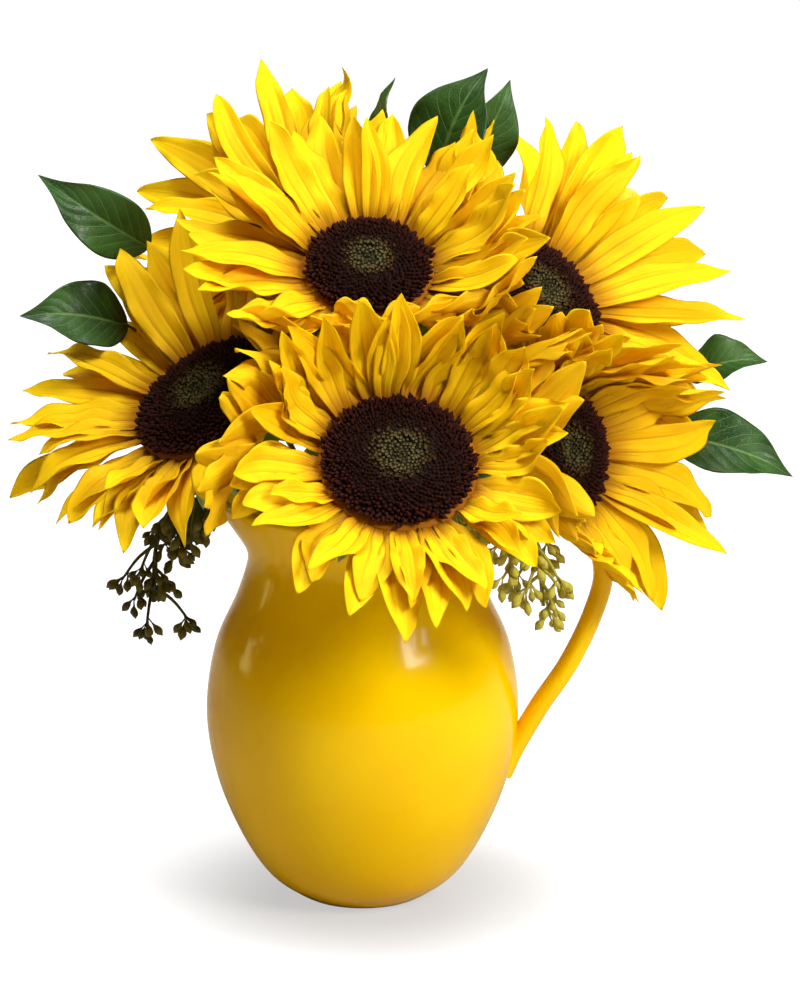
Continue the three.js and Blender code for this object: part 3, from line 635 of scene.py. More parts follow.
# %% Directions on a bloom
def face_bloom(bloom):
    """Adds the bloom's own directions: the way it faces, up the disc and to its side."""
    azimuth, height = (math.radians(angle) for angle in bloom["faces"])
    facing = vec(math.sin(azimuth) * math.cos(height), -math.cos(azimuth) * math.cos(height),
                 math.sin(height))
    up = unit(vec(0, 0, 1) - facing * facing[2])
    bloom["centre"] = vec(*bloom["at"])
    bloom["facing"], bloom["up"], bloom["side"] = facing, up, np.cross(facing, up)


def on_bloom(bloom, turn, radius, height):
    """Points on a bloom from the turn about its axis, the radius and the height."""
    turn, radius, height = np.broadcast_arrays(turn, radius, height)
    return (bloom["centre"] + (radius * np.cos(turn))[..., None] * bloom["up"]
            + (radius * np.sin(turn))[..., None] * bloom["side"]
            + height[..., None] * bloom["facing"])


for bloom in BLOOMS:
    face_bloom(bloom)
print("the front bloom faces", BLOOMS[0]["facing"].round(2))

# %% Cells between the blooms
def reach_towards(bloom, direction):
    lean = bloom["facing"] @ direction
    return (bloom["disc"] + COLLAR["outer"]) * math.sqrt(1 - lean ** 2) + DISC["dome"] * abs(lean)


def cell_planes(bloom):
    """The planes round a bloom's cell, each as its outward direction and its offset."""
    planes = []
    for other in BLOOMS:
        if other is bloom:
            continue
        mean = unit(bloom["facing"] + other["facing"])
        across = other["centre"] - bloom["centre"]
        names = bloom["name"], other["name"]
        lean = LIES_OVER.get(names, 0) - LIES_OVER.get(names[::-1], 0)
        normal = unit(unit(across - mean * (across @ mean)) - mean * lean)
        near = bloom["centre"] @ normal + reach_towards(bloom, normal)
        far = other["centre"] @ normal - reach_towards(other, normal)
        planes.append((normal, (near + far) / 2))
    for towards, at in bloom.get("held_back", []):
        planes.append((unit(vec(*towards)), vec(*at) @ unit(vec(*towards))))
    return planes


def depth_inside(plane, points):
    normal, offset = plane
    return offset - points @ normal - CELL["margin"]


def kept_inside(points, bloom):
    """Points eased back from the planes of the cell, and out of the side of the disc."""
    points = points.copy()
    for plane in bloom["planes"]:
        depth = depth_inside(plane, points)
        kept = CELL["soft"] * np.exp((np.minimum(depth, CELL["soft"]) / CELL["soft"]) - 1)
        shift = np.where(depth < CELL["soft"], depth - kept, 0)
        points += shift[..., None] * plane[0]
    outward = points - bloom["centre"]
    height = outward @ bloom["facing"]
    outward -= height[..., None] * bloom["facing"]
    radius = np.linalg.norm(outward, axis=-1)
    short = bloom["disc"] + PETAL_ROOT["outside"] - radius
    push = np.where((np.abs(height) < DISC["dome"]) & (short > 0), short / radius, 0)
    return points + push[..., None] * outward


for bloom in BLOOMS:
    bloom["planes"] = cell_planes(bloom)
print(sum(len(bloom["planes"]) for bloom in BLOOMS), "planes between the blooms")

# %% [markdown]
# ### Petals
#
# A petal starts at the rim of the disc and grows in small steps. At each step it bends back under
# its own weight and turns away from its neighbours' cells. That gives the middle line and the way
# the face looks. The blade is then spread over that line: a shallow channel with pleats along it,
# thin rippled edges and a tip that curls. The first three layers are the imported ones, petal for
# petal and a little narrower. Two more layers stand between them, as on a full bloom. A petal is
# made with numpy, because each step depends on the one before and on the planes of its cell.

# %% Petal layers
PACKED_LAYERS = [
    {"count": 8, "rise": (-0.05, 0.2), "length": (56, 68), "width": (18, 22), "bend": (0.1, 0.5)},
    {"count": 8, "rise": (0.34, 0.52), "length": (54, 66), "width": (18, 22), "bend": (0.05, 0.6)},
    {"count": 6, "rise": (0.75, 0.95), "length": (42, 54), "width": (14, 18), "bend": (0.1, 0.7)},
]
FILLING_LAYERS = [
    {"count": 14, "rise": (0.1, 0.34), "length": (54, 66), "width": (16, 20), "bend": (0.1, 0.6)},
    {"count": 12, "rise": (0.46, 0.7), "length": (50, 62), "width": (15, 19), "bend": (0.1, 0.7)},
]
GOLDEN_ANGLE = math.pi * (3 - math.sqrt(5))
PETAL_ROWS = 27
PETAL_COLUMNS = 17
PETAL_THICKNESS = 0.55


def draw_petals(seed, layers, spin=0, spiral=False):
    """The petals of each layer, evenly set, or in one golden spiral that fills the gaps."""
    draw = seeded(seed)
    petals = []
    for order, layer in enumerate(layers):
        for i in range(layer["count"]):
            jitter = next(draw) - 0.5
            turn = (i + order / 2 + 0.5 * jitter) / layer["count"] * TAU
            if spiral:
                turn = len(petals) * GOLDEN_ANGLE + 0.15 * jitter
            petal = {"turn": turn + spin}
            for key in ("rise", "length", "width", "bend"):
                petal[key] = between(draw, layer[key])
            petal["twist"] = between(draw, (-0.35, 0.35))
            petal["fold"] = between(draw, (0.1, 0.3))
            petals.append(petal)
    return petals


def full_length(bloom, petal):
    """A petal's length on its bloom, which is less on a side where the next bloom crowds it."""
    length = petal["length"] * bloom["grow"]
    for side, share in bloom.get("trim", []):
        length *= 1 - share * smooth(2 * math.cos(petal["turn"] - side) - 1)
    return length


print("packed petals on a bloom:", sum(layer["count"] for layer in PACKED_LAYERS))
print("petals that fill it:", sum(layer["count"] for layer in FILLING_LAYERS))

# %% Grow the middle line of a petal
def grow_petal(bloom, petal):
    """The middle line of a petal, with the direction of growth and the way its face looks."""
    facing = bloom["facing"]
    length = full_length(bloom, petal)
    radial = on_bloom(bloom, petal["turn"], 1, 0) - bloom["centre"]
    point = on_bloom(bloom, petal["turn"], bloom["disc"] + PETAL_ROOT["outside"],
                     PETAL_ROOT["height"])
    rise = petal["rise"] * (1 - DROOP * (1 - math.cos(petal["turn"])) / 2)
    along = radial * math.cos(rise) + facing * math.sin(rise)
    face = -radial * math.sin(rise) + facing * math.cos(rise)
    line = []
    for i in range(GROWTH_STEPS + 1):
        line.append((point.copy(), along.copy(), face.copy()))
        grown = i / GROWTH_STEPS
        step = length / GROWTH_STEPS
        along = along - face * (2 * grown * petal["bend"] / GROWTH_STEPS)
        along[2] -= SAG * grown / GROWTH_STEPS
        for plane in bloom["planes"]:
            near = smooth(1 - depth_inside(plane, point) / CELL["near"])
            into = along @ plane[0]
            if near > 0 and into > 0:
                along = along - plane[0] * (near * into)
                face = face - plane[0] * near
                step *= 1 - CELL["crowd"] * near
        along = unit(along)
        face = face + np.cross(along, face) * (petal["twist"] / GROWTH_STEPS)
        face = unit(face - along * (face @ along))
        point = point + along * step
    return (np.array(column) for column in zip(*line))


print("a petal grows in", GROWTH_STEPS, "steps")

# %% Spread the blade of a petal
def petal_width(grown):
    """Half the width along a petal, as a share of its full half width."""
    early = 0.52 + 0.48 * np.sin(np.minimum(grown / 0.45, 1) * math.pi / 2)
    late = 1 - (np.maximum(grown - 0.45, 0) / 0.55) ** 2.3
    return np.where(grown < 0.45, early, late)


def spread_petal(bloom, petal, whims):
    """The blade of a petal. Whims is a stream of draws for its pleats, ripples and curl."""
    points, along, face = grow_petal(bloom, petal)
    grown = np.linspace(0, 1, PETAL_ROWS)
    own = np.linspace(0, 1, GROWTH_STEPS + 1)
    at_rows = lambda values: np.stack([np.interp(grown, own, values[:, k]) for k in range(3)], 1)
    points, along, face = at_rows(points), at_rows(along), at_rows(face)
    along /= np.linalg.norm(along, axis=1)[:, None]
    face -= along * np.sum(face * along, axis=1)[:, None]
    face /= np.linalg.norm(face, axis=1)[:, None]
    across = np.cross(along, face)
    u = np.linspace(-1, 1, PETAL_COLUMNS)[None, :]
    g = grown[:, None]
    half = petal["width"] / 2 * petal_width(grown)[:, None]
    curl = between(whims, (-6.0, 7.0))
    phase, other_phase = TAU * next(whims), TAU * next(whims)
    waves, ripple = between(whims, (1.6, 3.0)), between(whims, (0.6, 2.0))
    pleat = between(whims, (0.9, 1.5))
    sway, hook = between(whims, (-3, 3)), between(whims, (-7, 7))
    roll = between(whims, (-0.7, 0.7))
    channel = petal["fold"] * (1 + 1.3 * g ** 2) * half * np.abs(u) ** 1.5
    grooves = np.exp(-((np.abs(u) - 0.36) / 0.13) ** 2) + 0.5 * np.exp(-(u / 0.1) ** 2)
    pleats = -pleat * grooves * np.minimum(half / 6, 1) * smooth(g / 0.12) * (1 - g ** 3)
    edges = ripple * np.abs(u) ** 3 * smooth(g / 0.25) * np.where(
        u > 0, np.sin(waves * TAU * g + phase), np.sin(waves * 1.15 * TAU * g + other_phase))
    tip_curl = curl * smooth((g - 0.45) / 0.55) * g
    lift = (channel + pleats + edges * np.minimum(half / 4, 1) + tip_curl
            + roll * u * half * smooth((g - 0.35) / 0.65))
    bend = sway * np.sin(g * math.pi) * smooth(g / 0.4) + hook * smooth((g - 0.3) / 0.7) ** 2
    spread = (points[:, None, :] + (u * half + bend)[..., None] * across[:, None, :]
              + lift[..., None] * face[:, None, :])
    upper = kept_inside(spread, bloom)
    rows_along = np.gradient(upper, axis=0)
    rows_across = np.gradient(upper, axis=1)
    down = -np.cross(rows_across, rows_along)
    down = -down if np.sum(down[3, PETAL_COLUMNS // 2] * face[3]) > 0 else down
    size = np.linalg.norm(down, axis=2)[..., None]
    down = np.where(size > 1e-6, down / np.maximum(size, 1e-6), -face[:, None, :])
    thickness = PETAL_THICKNESS * (1 - 0.75 * u ** 2) * (1 - 0.5 * g)
    part = blade(upper, upper + thickness[..., None] * down)
    part["tint"] = np.full(len(part["points"]), next(whims))
    return part


print("a petal has", PETAL_ROWS, "rows of", PETAL_COLUMNS, "points")

# %% The ring that holds the petals
def collar_ring(bloom, sides=72):
    """The ring that holds the roots of the petals, as a part."""
    inner, outer = COLLAR["inner"] * bloom["disc"] + 0.3, bloom["disc"] + COLLAR["outer"] - 0.6
    corners = [(inner, COLLAR["bottom"]), (outer, COLLAR["bottom"]), (outer + 0.5, -4.8),
               (outer, COLLAR["top"]), (inner, COLLAR["top"])]
    turns = -np.arange(sides) * TAU / sides
    points = np.concatenate([on_bloom(bloom, turns, r, h) for r, h in corners])
    strip = [(s, t, t + sides, s + sides) for s in range(sides) for t in [(s + 1) % sides]]
    faces = [tuple((i + k * sides) % (len(corners) * sides) for i in face)
             for k in range(len(corners)) for face in strip]
    count = len(points)
    # Its map sits at the petals' root, so the ring takes the painted brown root shade.
    return {"points": points, "faces": faces, "uv": np.zeros((count, 2)) + (0.5, 0.0),
            "under": np.zeros(count), "tint": np.full(count, 0.5)}


print("the collar of the front bloom has", len(collar_ring(BLOOMS[0])["faces"]), "faces")

# %% [markdown]
# A petal is golden yellow, warmer where it is old, with fine darker veins along it. The brown at
# its root is painted shade, where the petals crowd round the disc, and the darker lines along its
# two grooves are painted shade in the pleats. Its own map runs from root to tip, so noise that is
# stretched along that map gives the veins, and a ramp along it gives the painted shade at the root.
# Light passes through so thin a blade, which a little subsurface colour stands for.

# %% Petal finish
PETAL = {"bright": "fccc0c", "gold": "f0ab08", "root": "874404", "tip": "fcd410", "under": "e3a810",
         "groove": "be7c0a"}

petal_skin, tree, shader = new_material(
    "petal_skin", Roughness=0.6, Specular_IOR_Level=0.08, Subsurface_Weight=0.25,
    Subsurface_Scale=0.004)
shader.inputs["Subsurface Radius"].default_value = (1.0, 0.55, 0.08)
uv = add_node(tree, "ShaderNodeUVMap", uv_map="UVMap").outputs[0]
grown = add_node(tree, "ShaderNodeSeparateXYZ", {0: uv}).outputs["Y"]
tint = add_node(tree, "ShaderNodeAttribute", attribute_name="tint").outputs["Fac"]
under = add_node(tree, "ShaderNodeAttribute", attribute_name="under").outputs["Fac"]
shifted = add_node(tree, "ShaderNodeVectorMath", {
    0: uv, 1: add_node(tree, "ShaderNodeCombineXYZ", {
        0: maths(tree, "MULTIPLY", tint, 37.0), 1: maths(tree, "MULTIPLY", tint, 11.0)}).outputs[0],
}, operation="ADD").outputs[0]
vein_place = add_node(tree, "ShaderNodeMapping", {
    "Vector": shifted, "Scale": (26.0, 1.6, 1.0)}).outputs[0]
veins = add_node(tree, "ShaderNodeTexNoise", {
    "Vector": vein_place, "Scale": 1.0, "Detail": 3.0, "Roughness": 0.6}).outputs["Fac"]
blotch_place = add_node(tree, "ShaderNodeMapping", {
    "Vector": shifted, "Scale": (2.2, 3.5, 1.0)}).outputs[0]
blotches = add_node(tree, "ShaderNodeTexNoise", {
    "Vector": blotch_place, "Scale": 1.0, "Detail": 2.0}).outputs["Fac"]
warmth = maths(tree, "ADD", maths(tree, "MULTIPLY", tint, 0.45),
               maths(tree, "MULTIPLY", maths(tree, "SUBTRACT", blotches, 0.4), 0.9))
colour = blend_colours(tree, add_node(tree, "ShaderNodeClamp", {0: warmth}).outputs[0],
                       ink(PETAL["bright"]), ink(PETAL["gold"]))
dark_vein = add_node(tree, "ShaderNodeMapRange", {0: veins, 1: 0.52, 2: 0.75, 4: 0.5}).outputs[0]
colour = blend_colours(tree, dark_vein, colour, ink(PETAL["gold"]))
# Painted shade: a darker orange-brown line along each of the two pleat grooves, fading towards the
# tip.
off_middle = maths(tree, "ABSOLUTE", maths(tree, "SUBTRACT", add_node(
    tree, "ShaderNodeSeparateXYZ", {0: uv}).outputs["X"], 0.5))
groove = add_node(tree, "ShaderNodeMapRange", {
    0: maths(tree, "ABSOLUTE", maths(tree, "SUBTRACT", off_middle, 0.18)),
    1: 0.045, 2: 0.0, 4: 0.75}).outputs[0]
fades = add_node(tree, "ShaderNodeMapRange", {0: grown, 1: 0.95, 2: 0.35}).outputs[0]
colour = blend_colours(tree, maths(tree, "MULTIPLY", groove, fades), colour,
                       ink(PETAL["groove"]))
# Painted shade: brown towards the root, where the petals crowd round the disc.
root_painted_shade = add_node(tree, "ShaderNodeMapRange", {
    0: maths(tree, "ADD", grown, maths(tree, "MULTIPLY", veins, -0.16)),
    1: 0.24, 2: -0.06}, interpolation_type="SMOOTHSTEP").outputs[0]
colour = blend_colours(tree, maths(tree, "MULTIPLY", root_painted_shade, 0.9), colour,
                       ink(PETAL["root"]))
tip_share = add_node(tree, "ShaderNodeMapRange", {0: grown, 1: 0.55, 2: 1.0, 4: 0.4}).outputs[0]
colour = blend_colours(tree, tip_share, colour, ink(PETAL["tip"]))
colour = blend_colours(tree, maths(tree, "MULTIPLY", under, 0.6), colour, ink(PETAL["under"]))
tree.links.new(colour, shader.inputs["Base Color"])
tree.links.new(add_node(tree, "ShaderNodeBump", {
    "Height": veins, "Strength": 0.35, "Distance": 0.0012}).outputs[0],
    shader.inputs["Normal"])
print("petal finish ready")

# %% Make the petals
for bloom in BLOOMS:
    whims = seeded(bloom["seed"] + 900)
    spin = bloom.get("spin", 0)
    petals = (draw_petals(bloom["seed"], PACKED_LAYERS, spin)
              + draw_petals(bloom["seed"] + 500, FILLING_LAYERS, spin, spiral=True))
    parts = [collar_ring(bloom)] + [spread_petal(bloom, petal, whims) for petal in petals]
    piece = make_piece(f"petals_{bloom['name']}", joined(parts), petal_skin)
    stand_for(piece, "petal", f"sunflower_{bloom['name']}_petals")
    print(piece.name, len(petals), "petals,", len(piece.data.polygons), "faces")

# %% [markdown]
# ### Discs
#
# Each dark point of the disc is a flower of its own. They sit in the spiral that many plants
# share: every next one is turned by the golden angle, about 137.5 degrees, and stands a little
# further out, so that each has the same room. The outer ones are open, with a tube and two curled
# arms. The ones in the middle are still closed green buds. A rule like that is a task for Geometry
# Nodes: one tree makes the disc for every bloom, from its radius and the number of florets.

# %% Helpers for Geometry Nodes
def group_inputs(tree, sockets):
    """Adds named inputs and a geometry output to a Geometry Nodes tree. Returns both end nodes."""
    for name, kind, default in sockets:
        socket = tree.interface.new_socket(name=name, in_out="INPUT", socket_type=kind)
        if default is not None:
            socket.default_value = default
    tree.interface.new_socket(name="Geometry", in_out="OUTPUT", socket_type="NodeSocketGeometry")
    return add_node(tree, "NodeGroupInput"), add_node(tree, "NodeGroupOutput")


def cone(tree, sides, low, high, depth, place, turn=(0, 0, 0)):
    """A closed cone from its foot upwards, placed and turned."""
    made = add_node(tree, "GeometryNodeMeshCone", {
        "Vertices": sides, "Radius Top": high, "Radius Bottom": low, "Depth": depth})
    return add_node(tree, "GeometryNodeTransform", {
        "Geometry": made.outputs["Mesh"], "Translation": place, "Rotation": turn}).outputs[0]


def marked(tree, geometry, name, value, domain="POINT"):
    """The geometry with a number stored on it under a name."""
    return add_node(tree, "GeometryNodeStoreNamedAttribute", {
        "Geometry": geometry, "Name": name, "Value": value},
        data_type="FLOAT", domain=domain).outputs[0]


def floret_form(tree, forms, tall):
    """Cones joined into one floret, marked with each point's share of the height."""
    whole = add_node(tree, "GeometryNodeJoinGeometry")
    for form in forms:
        tree.links.new(form, whole.inputs[0])
    height = add_node(tree, "ShaderNodeSeparateXYZ", {
        0: add_node(tree, "GeometryNodeInputPosition").outputs[0]}).outputs["Z"]
    return marked(tree, whole.outputs[0], "tip", maths(tree, "DIVIDE", height, tall))


def random_value(tree, low, high, seed, shift):
    made = add_node(tree, "FunctionNodeRandomValue", data_type="FLOAT")
    made.inputs[2].default_value, made.inputs[3].default_value = low, high
    tree.links.new(maths(tree, "ADD", seed, float(shift)), made.inputs["Seed"])
    return made.outputs[1]


print("Geometry Nodes helpers ready")

# %% The spiral of points
FLORET_SHARE = 0.95                       # florets for each square millimetre of radius squared

disc_tree = bpy.data.node_groups.new("floret_spiral", "GeometryNodeTree")
given, result = group_inputs(disc_tree, [
    ("Geometry", "NodeSocketGeometry", None), ("Count", "NodeSocketInt", 900),
    ("Radius", "NodeSocketFloat", 0.035), ("Dome", "NodeSocketFloat", 0.007),
    ("Dimple", "NodeSocketFloat", 0.0022), ("Seed", "NodeSocketInt", 0),
    ("Material", "NodeSocketMaterial", None),
])
seed = given.outputs["Seed"]
index = add_node(disc_tree, "GeometryNodeInputIndex").outputs[0]
share = maths(disc_tree, "SQRT", maths(disc_tree, "DIVIDE", maths(disc_tree, "ADD", index, 0.5),
                                       given.outputs["Count"]))
turn = maths(disc_tree, "MULTIPLY", index, GOLDEN_ANGLE)
radius = maths(disc_tree, "MULTIPLY", maths(disc_tree, "MULTIPLY", share, random_value(
    disc_tree, 0.975, 1.03, seed, 6)), given.outputs["Radius"])
hollow = maths(disc_tree, "MAXIMUM", 0.0, maths(disc_tree, "SUBTRACT", 1.0, maths(
    disc_tree, "MULTIPLY", share, 2.0)))
height = maths(disc_tree, "SUBTRACT", maths(disc_tree, "MULTIPLY", given.outputs["Dome"], maths(
    disc_tree, "SUBTRACT", 1.0, maths(disc_tree, "POWER", share, 3.0))), maths(
    disc_tree, "MULTIPLY", given.outputs["Dimple"], hollow))
spot = add_node(disc_tree, "ShaderNodeCombineXYZ", {
    0: maths(disc_tree, "MULTIPLY", radius, maths(disc_tree, "COSINE", turn)),
    1: maths(disc_tree, "MULTIPLY", radius, maths(disc_tree, "SINE", turn)), 2: height})
points = add_node(disc_tree, "GeometryNodePoints", {
    "Count": given.outputs["Count"], "Position": spot.outputs[0]}).outputs[0]
print("spiral:", len(disc_tree.nodes), "nodes")

# %% The two kinds of floret
TUBE = 0.0034
BUD = 0.0022
ARM_TURN = 0.62
open_floret = floret_form(disc_tree, [
    cone(disc_tree, 5, 0.0005, 0.00085, TUBE * 0.7, (0, 0, 0)),
    cone(disc_tree, 4, 0.0003, 0.0, TUBE * 0.5, (0.0003, 0, TUBE * 0.62), (0, ARM_TURN, 0)),
    cone(disc_tree, 4, 0.0003, 0.0, TUBE * 0.5, (-0.0003, 0, TUBE * 0.62), (0, -ARM_TURN, 0)),
    cone(disc_tree, 4, 0.0003, 0.0, TUBE * 0.5, (0, 0.0003, TUBE * 0.6), (-ARM_TURN, 0, 0)),
], TUBE)
closed_floret = floret_form(disc_tree, [
    cone(disc_tree, 5, 0.00075, 0.0008, BUD * 0.5, (0, 0, 0)),
    cone(disc_tree, 5, 0.0008, 0.00012, BUD * 0.5, (0, 0, BUD * 0.5)),
], TUBE)
kinds = add_node(disc_tree, "GeometryNodeJoinGeometry")
for form in (closed_floret, open_floret):
    as_instance = add_node(disc_tree, "GeometryNodeGeometryToInstance")
    disc_tree.links.new(form, as_instance.inputs[0])
    disc_tree.links.new(as_instance.outputs[0], kinds.inputs[0])
print("an open floret is", TUBE / MM, "mm tall, a closed one", BUD / MM)

# %% Florets on the spiral
edge_share = maths(disc_tree, "ADD", share, random_value(disc_tree, -0.07, 0.07, seed, 1))
is_open = maths(disc_tree, "GREATER_THAN", edge_share, 0.42)
lean = maths(disc_tree, "ADD", maths(disc_tree, "MULTIPLY", maths(
    disc_tree, "POWER", share, 3.0), 0.95), random_value(disc_tree, -0.3, 0.3, seed, 2))
astray = maths(disc_tree, "MULTIPLY", share, random_value(disc_tree, -0.45, 0.45, seed, 5))
turned_to = add_node(disc_tree, "ShaderNodeCombineXYZ", {0: astray, 1: lean, 2: turn}).outputs[0]
at_rim = add_node(disc_tree, "ShaderNodeMapRange", {0: share, 1: 0.84, 2: 1.0, 4: 0.35}).outputs[0]
size = maths(disc_tree, "MULTIPLY", random_value(disc_tree, 0.72, 1.25, seed, 3), maths(
    disc_tree, "ADD", maths(disc_tree, "ADD", 0.66, at_rim), maths(
        disc_tree, "MULTIPLY", share, 0.5)))
florets = add_node(disc_tree, "GeometryNodeInstanceOnPoints", {
    "Points": points, "Instance": kinds.outputs[0], "Pick Instance": True,
    "Instance Index": is_open, "Rotation": turned_to, "Scale": size}).outputs[0]
florets = marked(disc_tree, florets, "ring", share, "INSTANCE")
florets = marked(disc_tree, florets, "odd", random_value(disc_tree, 0, 1, seed, 4), "INSTANCE")
real = add_node(disc_tree, "GeometryNodeRealizeInstances", {0: florets}).outputs[0]
finish = add_node(disc_tree, "GeometryNodeSetMaterial", {
    "Geometry": real, "Material": given.outputs["Material"]}).outputs[0]
disc_tree.links.new(finish, result.inputs[0])
print("floret tree:", len(disc_tree.nodes), "nodes")


# %% [markdown]
# A modifier runs the tree. Its inputs are set by the identifiers of their sockets, and the
# evaluated object gives a plain mesh. The modifier goes with its carrier, so nothing live is left.

# %% A helper that runs a tree and keeps its mesh
def grown_mesh(tree, values, base=None):
    """The plain mesh that a Geometry Nodes tree makes, with its inputs set by name."""
    carrier = bpy.data.objects.new("carrier", base or bpy.data.meshes.new("carrier"))
    bpy.context.scene.collection.objects.link(carrier)
    modifier = carrier.modifiers.new("tree", "NODES")
    modifier.node_group = tree
    for item in tree.interface.items_tree:
        if item.item_type == "SOCKET" and item.in_out == "INPUT" and item.name in values:
            modifier[item.identifier] = values[item.name]
    bpy.context.view_layer.update()
    shape = carrier.evaluated_get(bpy.context.evaluated_depsgraph_get())
    mesh = bpy.data.meshes.new_from_object(shape)
    bpy.data.objects.remove(carrier)
    return mesh


def with_mesh(piece, mesh):
    """Adds a second mesh to a piece's own."""
    other = bpy.data.objects.new("other", mesh)
    bpy.context.scene.collection.objects.link(other)
    with bpy.context.temp_override(active_object=piece, object=piece,
                                   selected_objects=[piece, other],
                                   selected_editable_objects=[piece, other]):
        bpy.ops.object.join()
    return piece


print("tree runner ready")

# %% [markdown]
# An open floret is nearly black with a rusty tip, and the closed buds in the middle are olive. The
# tree has marked how far out each one stands and how high each point of it is, so two ramps, one
# for the foot and one for the tip, colour the whole disc. A few arms carry golden pollen.

# %% Floret finish
FLORET = {"bud_tip": "6f6840", "dark": "190703", "dark_tip": "501a08", "arm": "8f4f18",
          "heart": "454124"}

floret_skin, tree, shader = new_material(
    "floret_skin", Roughness=0.8, Specular_IOR_Level=0.12)
ring = add_node(tree, "ShaderNodeAttribute", attribute_name="ring").outputs["Fac"]
odd = add_node(tree, "ShaderNodeAttribute", attribute_name="odd").outputs["Fac"]
tip = add_node(tree, "ShaderNodeAttribute", attribute_name="tip").outputs["Fac"]
place = add_node(tree, "ShaderNodeTexCoord").outputs["Object"]
grain = add_node(tree, "ShaderNodeTexNoise", {
    "Vector": place, "Scale": 900.0, "Detail": 2.0}).outputs["Fac"]
low = ramp(tree, ring, [(0.0, ink("26240f")), (0.25, ink("221c0d")), (0.4, ink("1c100a")),
                        (0.55, ink(FLORET["dark"])), (1.0, ink("150403"))])
high = ramp(tree, ring, [(0.0, ink(FLORET["heart"])), (0.22, ink(FLORET["bud_tip"])),
                         (0.36, ink("54401c")), (0.5, ink("3c160a")),
                         (0.93, ink(FLORET["dark_tip"]))])
colour = blend_colours(tree, add_node(tree, "ShaderNodeMapRange", {
    0: tip, 1: 0.2, 2: 0.85}).outputs[0], low, high)
pollen = maths(tree, "MULTIPLY", maths(tree, "GREATER_THAN", odd, 0.82), add_node(
    tree, "ShaderNodeMapRange", {0: tip, 1: 0.75, 2: 1.0, 4: 0.6}).outputs[0])
colour = blend_colours(tree, maths(tree, "MULTIPLY", pollen, maths(
    tree, "GREATER_THAN", ring, 0.5)), colour, ink(FLORET["arm"]))
colour = blend_colours(tree, maths(tree, "MULTIPLY", grain, 0.35), colour, ink("120704"))
tree.links.new(colour, shader.inputs["Base Color"])
tree.links.new(add_node(tree, "ShaderNodeBump", {
    "Height": grain, "Strength": 0.3, "Distance": 0.0004}).outputs[0], shader.inputs["Normal"])
print("floret finish ready")

# %% Make the discs
DISC_SIDES = 64
DISC_RINGS = 14
FLORET_FOOT = 1.2                         # how deep a floret stands in its plate


def disc_plate(bloom):
    """The plate under the florets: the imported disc's dome, a little lower."""
    radius = bloom["disc"]
    shares = np.linspace(1, 0, DISC_RINGS)[:-1]
    heights = (DISC["dome"] * (1 - shares ** 3)
               - DISC["dimple"] * np.maximum(0, 1 - shares / 0.5) - FLORET_FOOT)
    profile = [(0, -DISC["below"]), (0.86 * radius, -DISC["below"]), (0.95 * radius, -2.4),
               *zip(shares * radius * 0.985, heights), (0, heights[-1])]
    points, faces = spun(profile, DISC_SIDES)
    frame_axes = np.stack([bloom["up"], bloom["side"], bloom["facing"]])
    radii = np.hypot(points[:, 0], points[:, 1]) / radius
    count = len(points)
    return {"points": bloom["centre"] + points @ frame_axes, "faces": faces,
            "uv": np.zeros((count, 2)), "ring": radii, "odd": np.zeros(count),
            "tip": np.zeros(count)}


def bloom_matrix(bloom):
    """From a bloom's own frame to the whole, in metres."""
    columns = np.stack([bloom["up"], bloom["side"], bloom["facing"], bloom["centre"] * MM], 1)
    return Matrix([*(tuple(row) for row in columns), (0, 0, 0, 1)])


for bloom in BLOOMS:
    plate = make_piece(f"disc_{bloom['name']}", disc_plate(bloom), floret_skin)
    florets = grown_mesh(disc_tree, {
        "Count": round(FLORET_SHARE * bloom["disc"] ** 2), "Radius": bloom["disc"] * MM,
        "Dome": (DISC["dome"] - 0.3) * MM, "Dimple": DISC["dimple"] * MM, "Seed": bloom["seed"],
        "Material": floret_skin})
    florets.transform(Matrix.Translation((0, 0, -FLORET_FOOT * MM)))
    florets.transform(bloom_matrix(bloom))
    piece = with_mesh(plate, florets)
    stand_for(piece, "floret", f"sunflower_{bloom['name']}_disc")
    print(piece.name, len(piece.data.polygons), "faces")

# %% [markdown]
# ### Stems, cups and bracts
#
# Under the disc the stem widens into a green cup. Three rows of pointed bracts, the leaves that
# once closed the bud, stand round its edge and bend back. From the side and from behind they are
# what makes a sunflower. The stem runs down through the neck of the pitcher to the cut end in the
# water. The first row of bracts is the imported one.

# %% Stem and bract sizes
CUP = {"shelf": -6.6, "bract_root": -9, "waist": -22}
STEM = {"radius": 4.75, "sides": 20, "rows": 60}
FEET = INNER_FLOOR + 2
NECK = 168
RIM = 198
WATER_LEVEL = 120
PACKED_BRACTS = {"count": 7, "length": (20, 27), "drop": (0.75, 1.0), "half_width": 4.6}
BRACT_ROWS = [
    # how many, length, drop in radians, how high up the cup, half width
    (13, (24, 31), (0.42, 0.66), -7.4, 5.0),
    (12, (20, 27), (0.9, 1.15), -11.0, 4.6),
]
BRACT_ROOT = {"share": 0.84, "sunk": 2.5}
BRACT_THICKNESS = 0.9
CUP_SIDES = 56
print("bracts on a cup:", PACKED_BRACTS["count"] + sum(row[0] for row in BRACT_ROWS))

# %% Stem and cup
def stem_route(bloom):
    (nx, ny), (rx, ry) = bloom["neck"], bloom["rim"]
    return [(0.55 * nx, 0.55 * ny, FEET), (0.8 * nx, 0.8 * ny, 0.75 * WATER_LEVEL),
            (nx, ny, NECK), (rx, ry, RIM), on_bloom(bloom, 0, 0, CUP["waist"] - 12),
            on_bloom(bloom, 0, 0, CUP["waist"] + 4)]


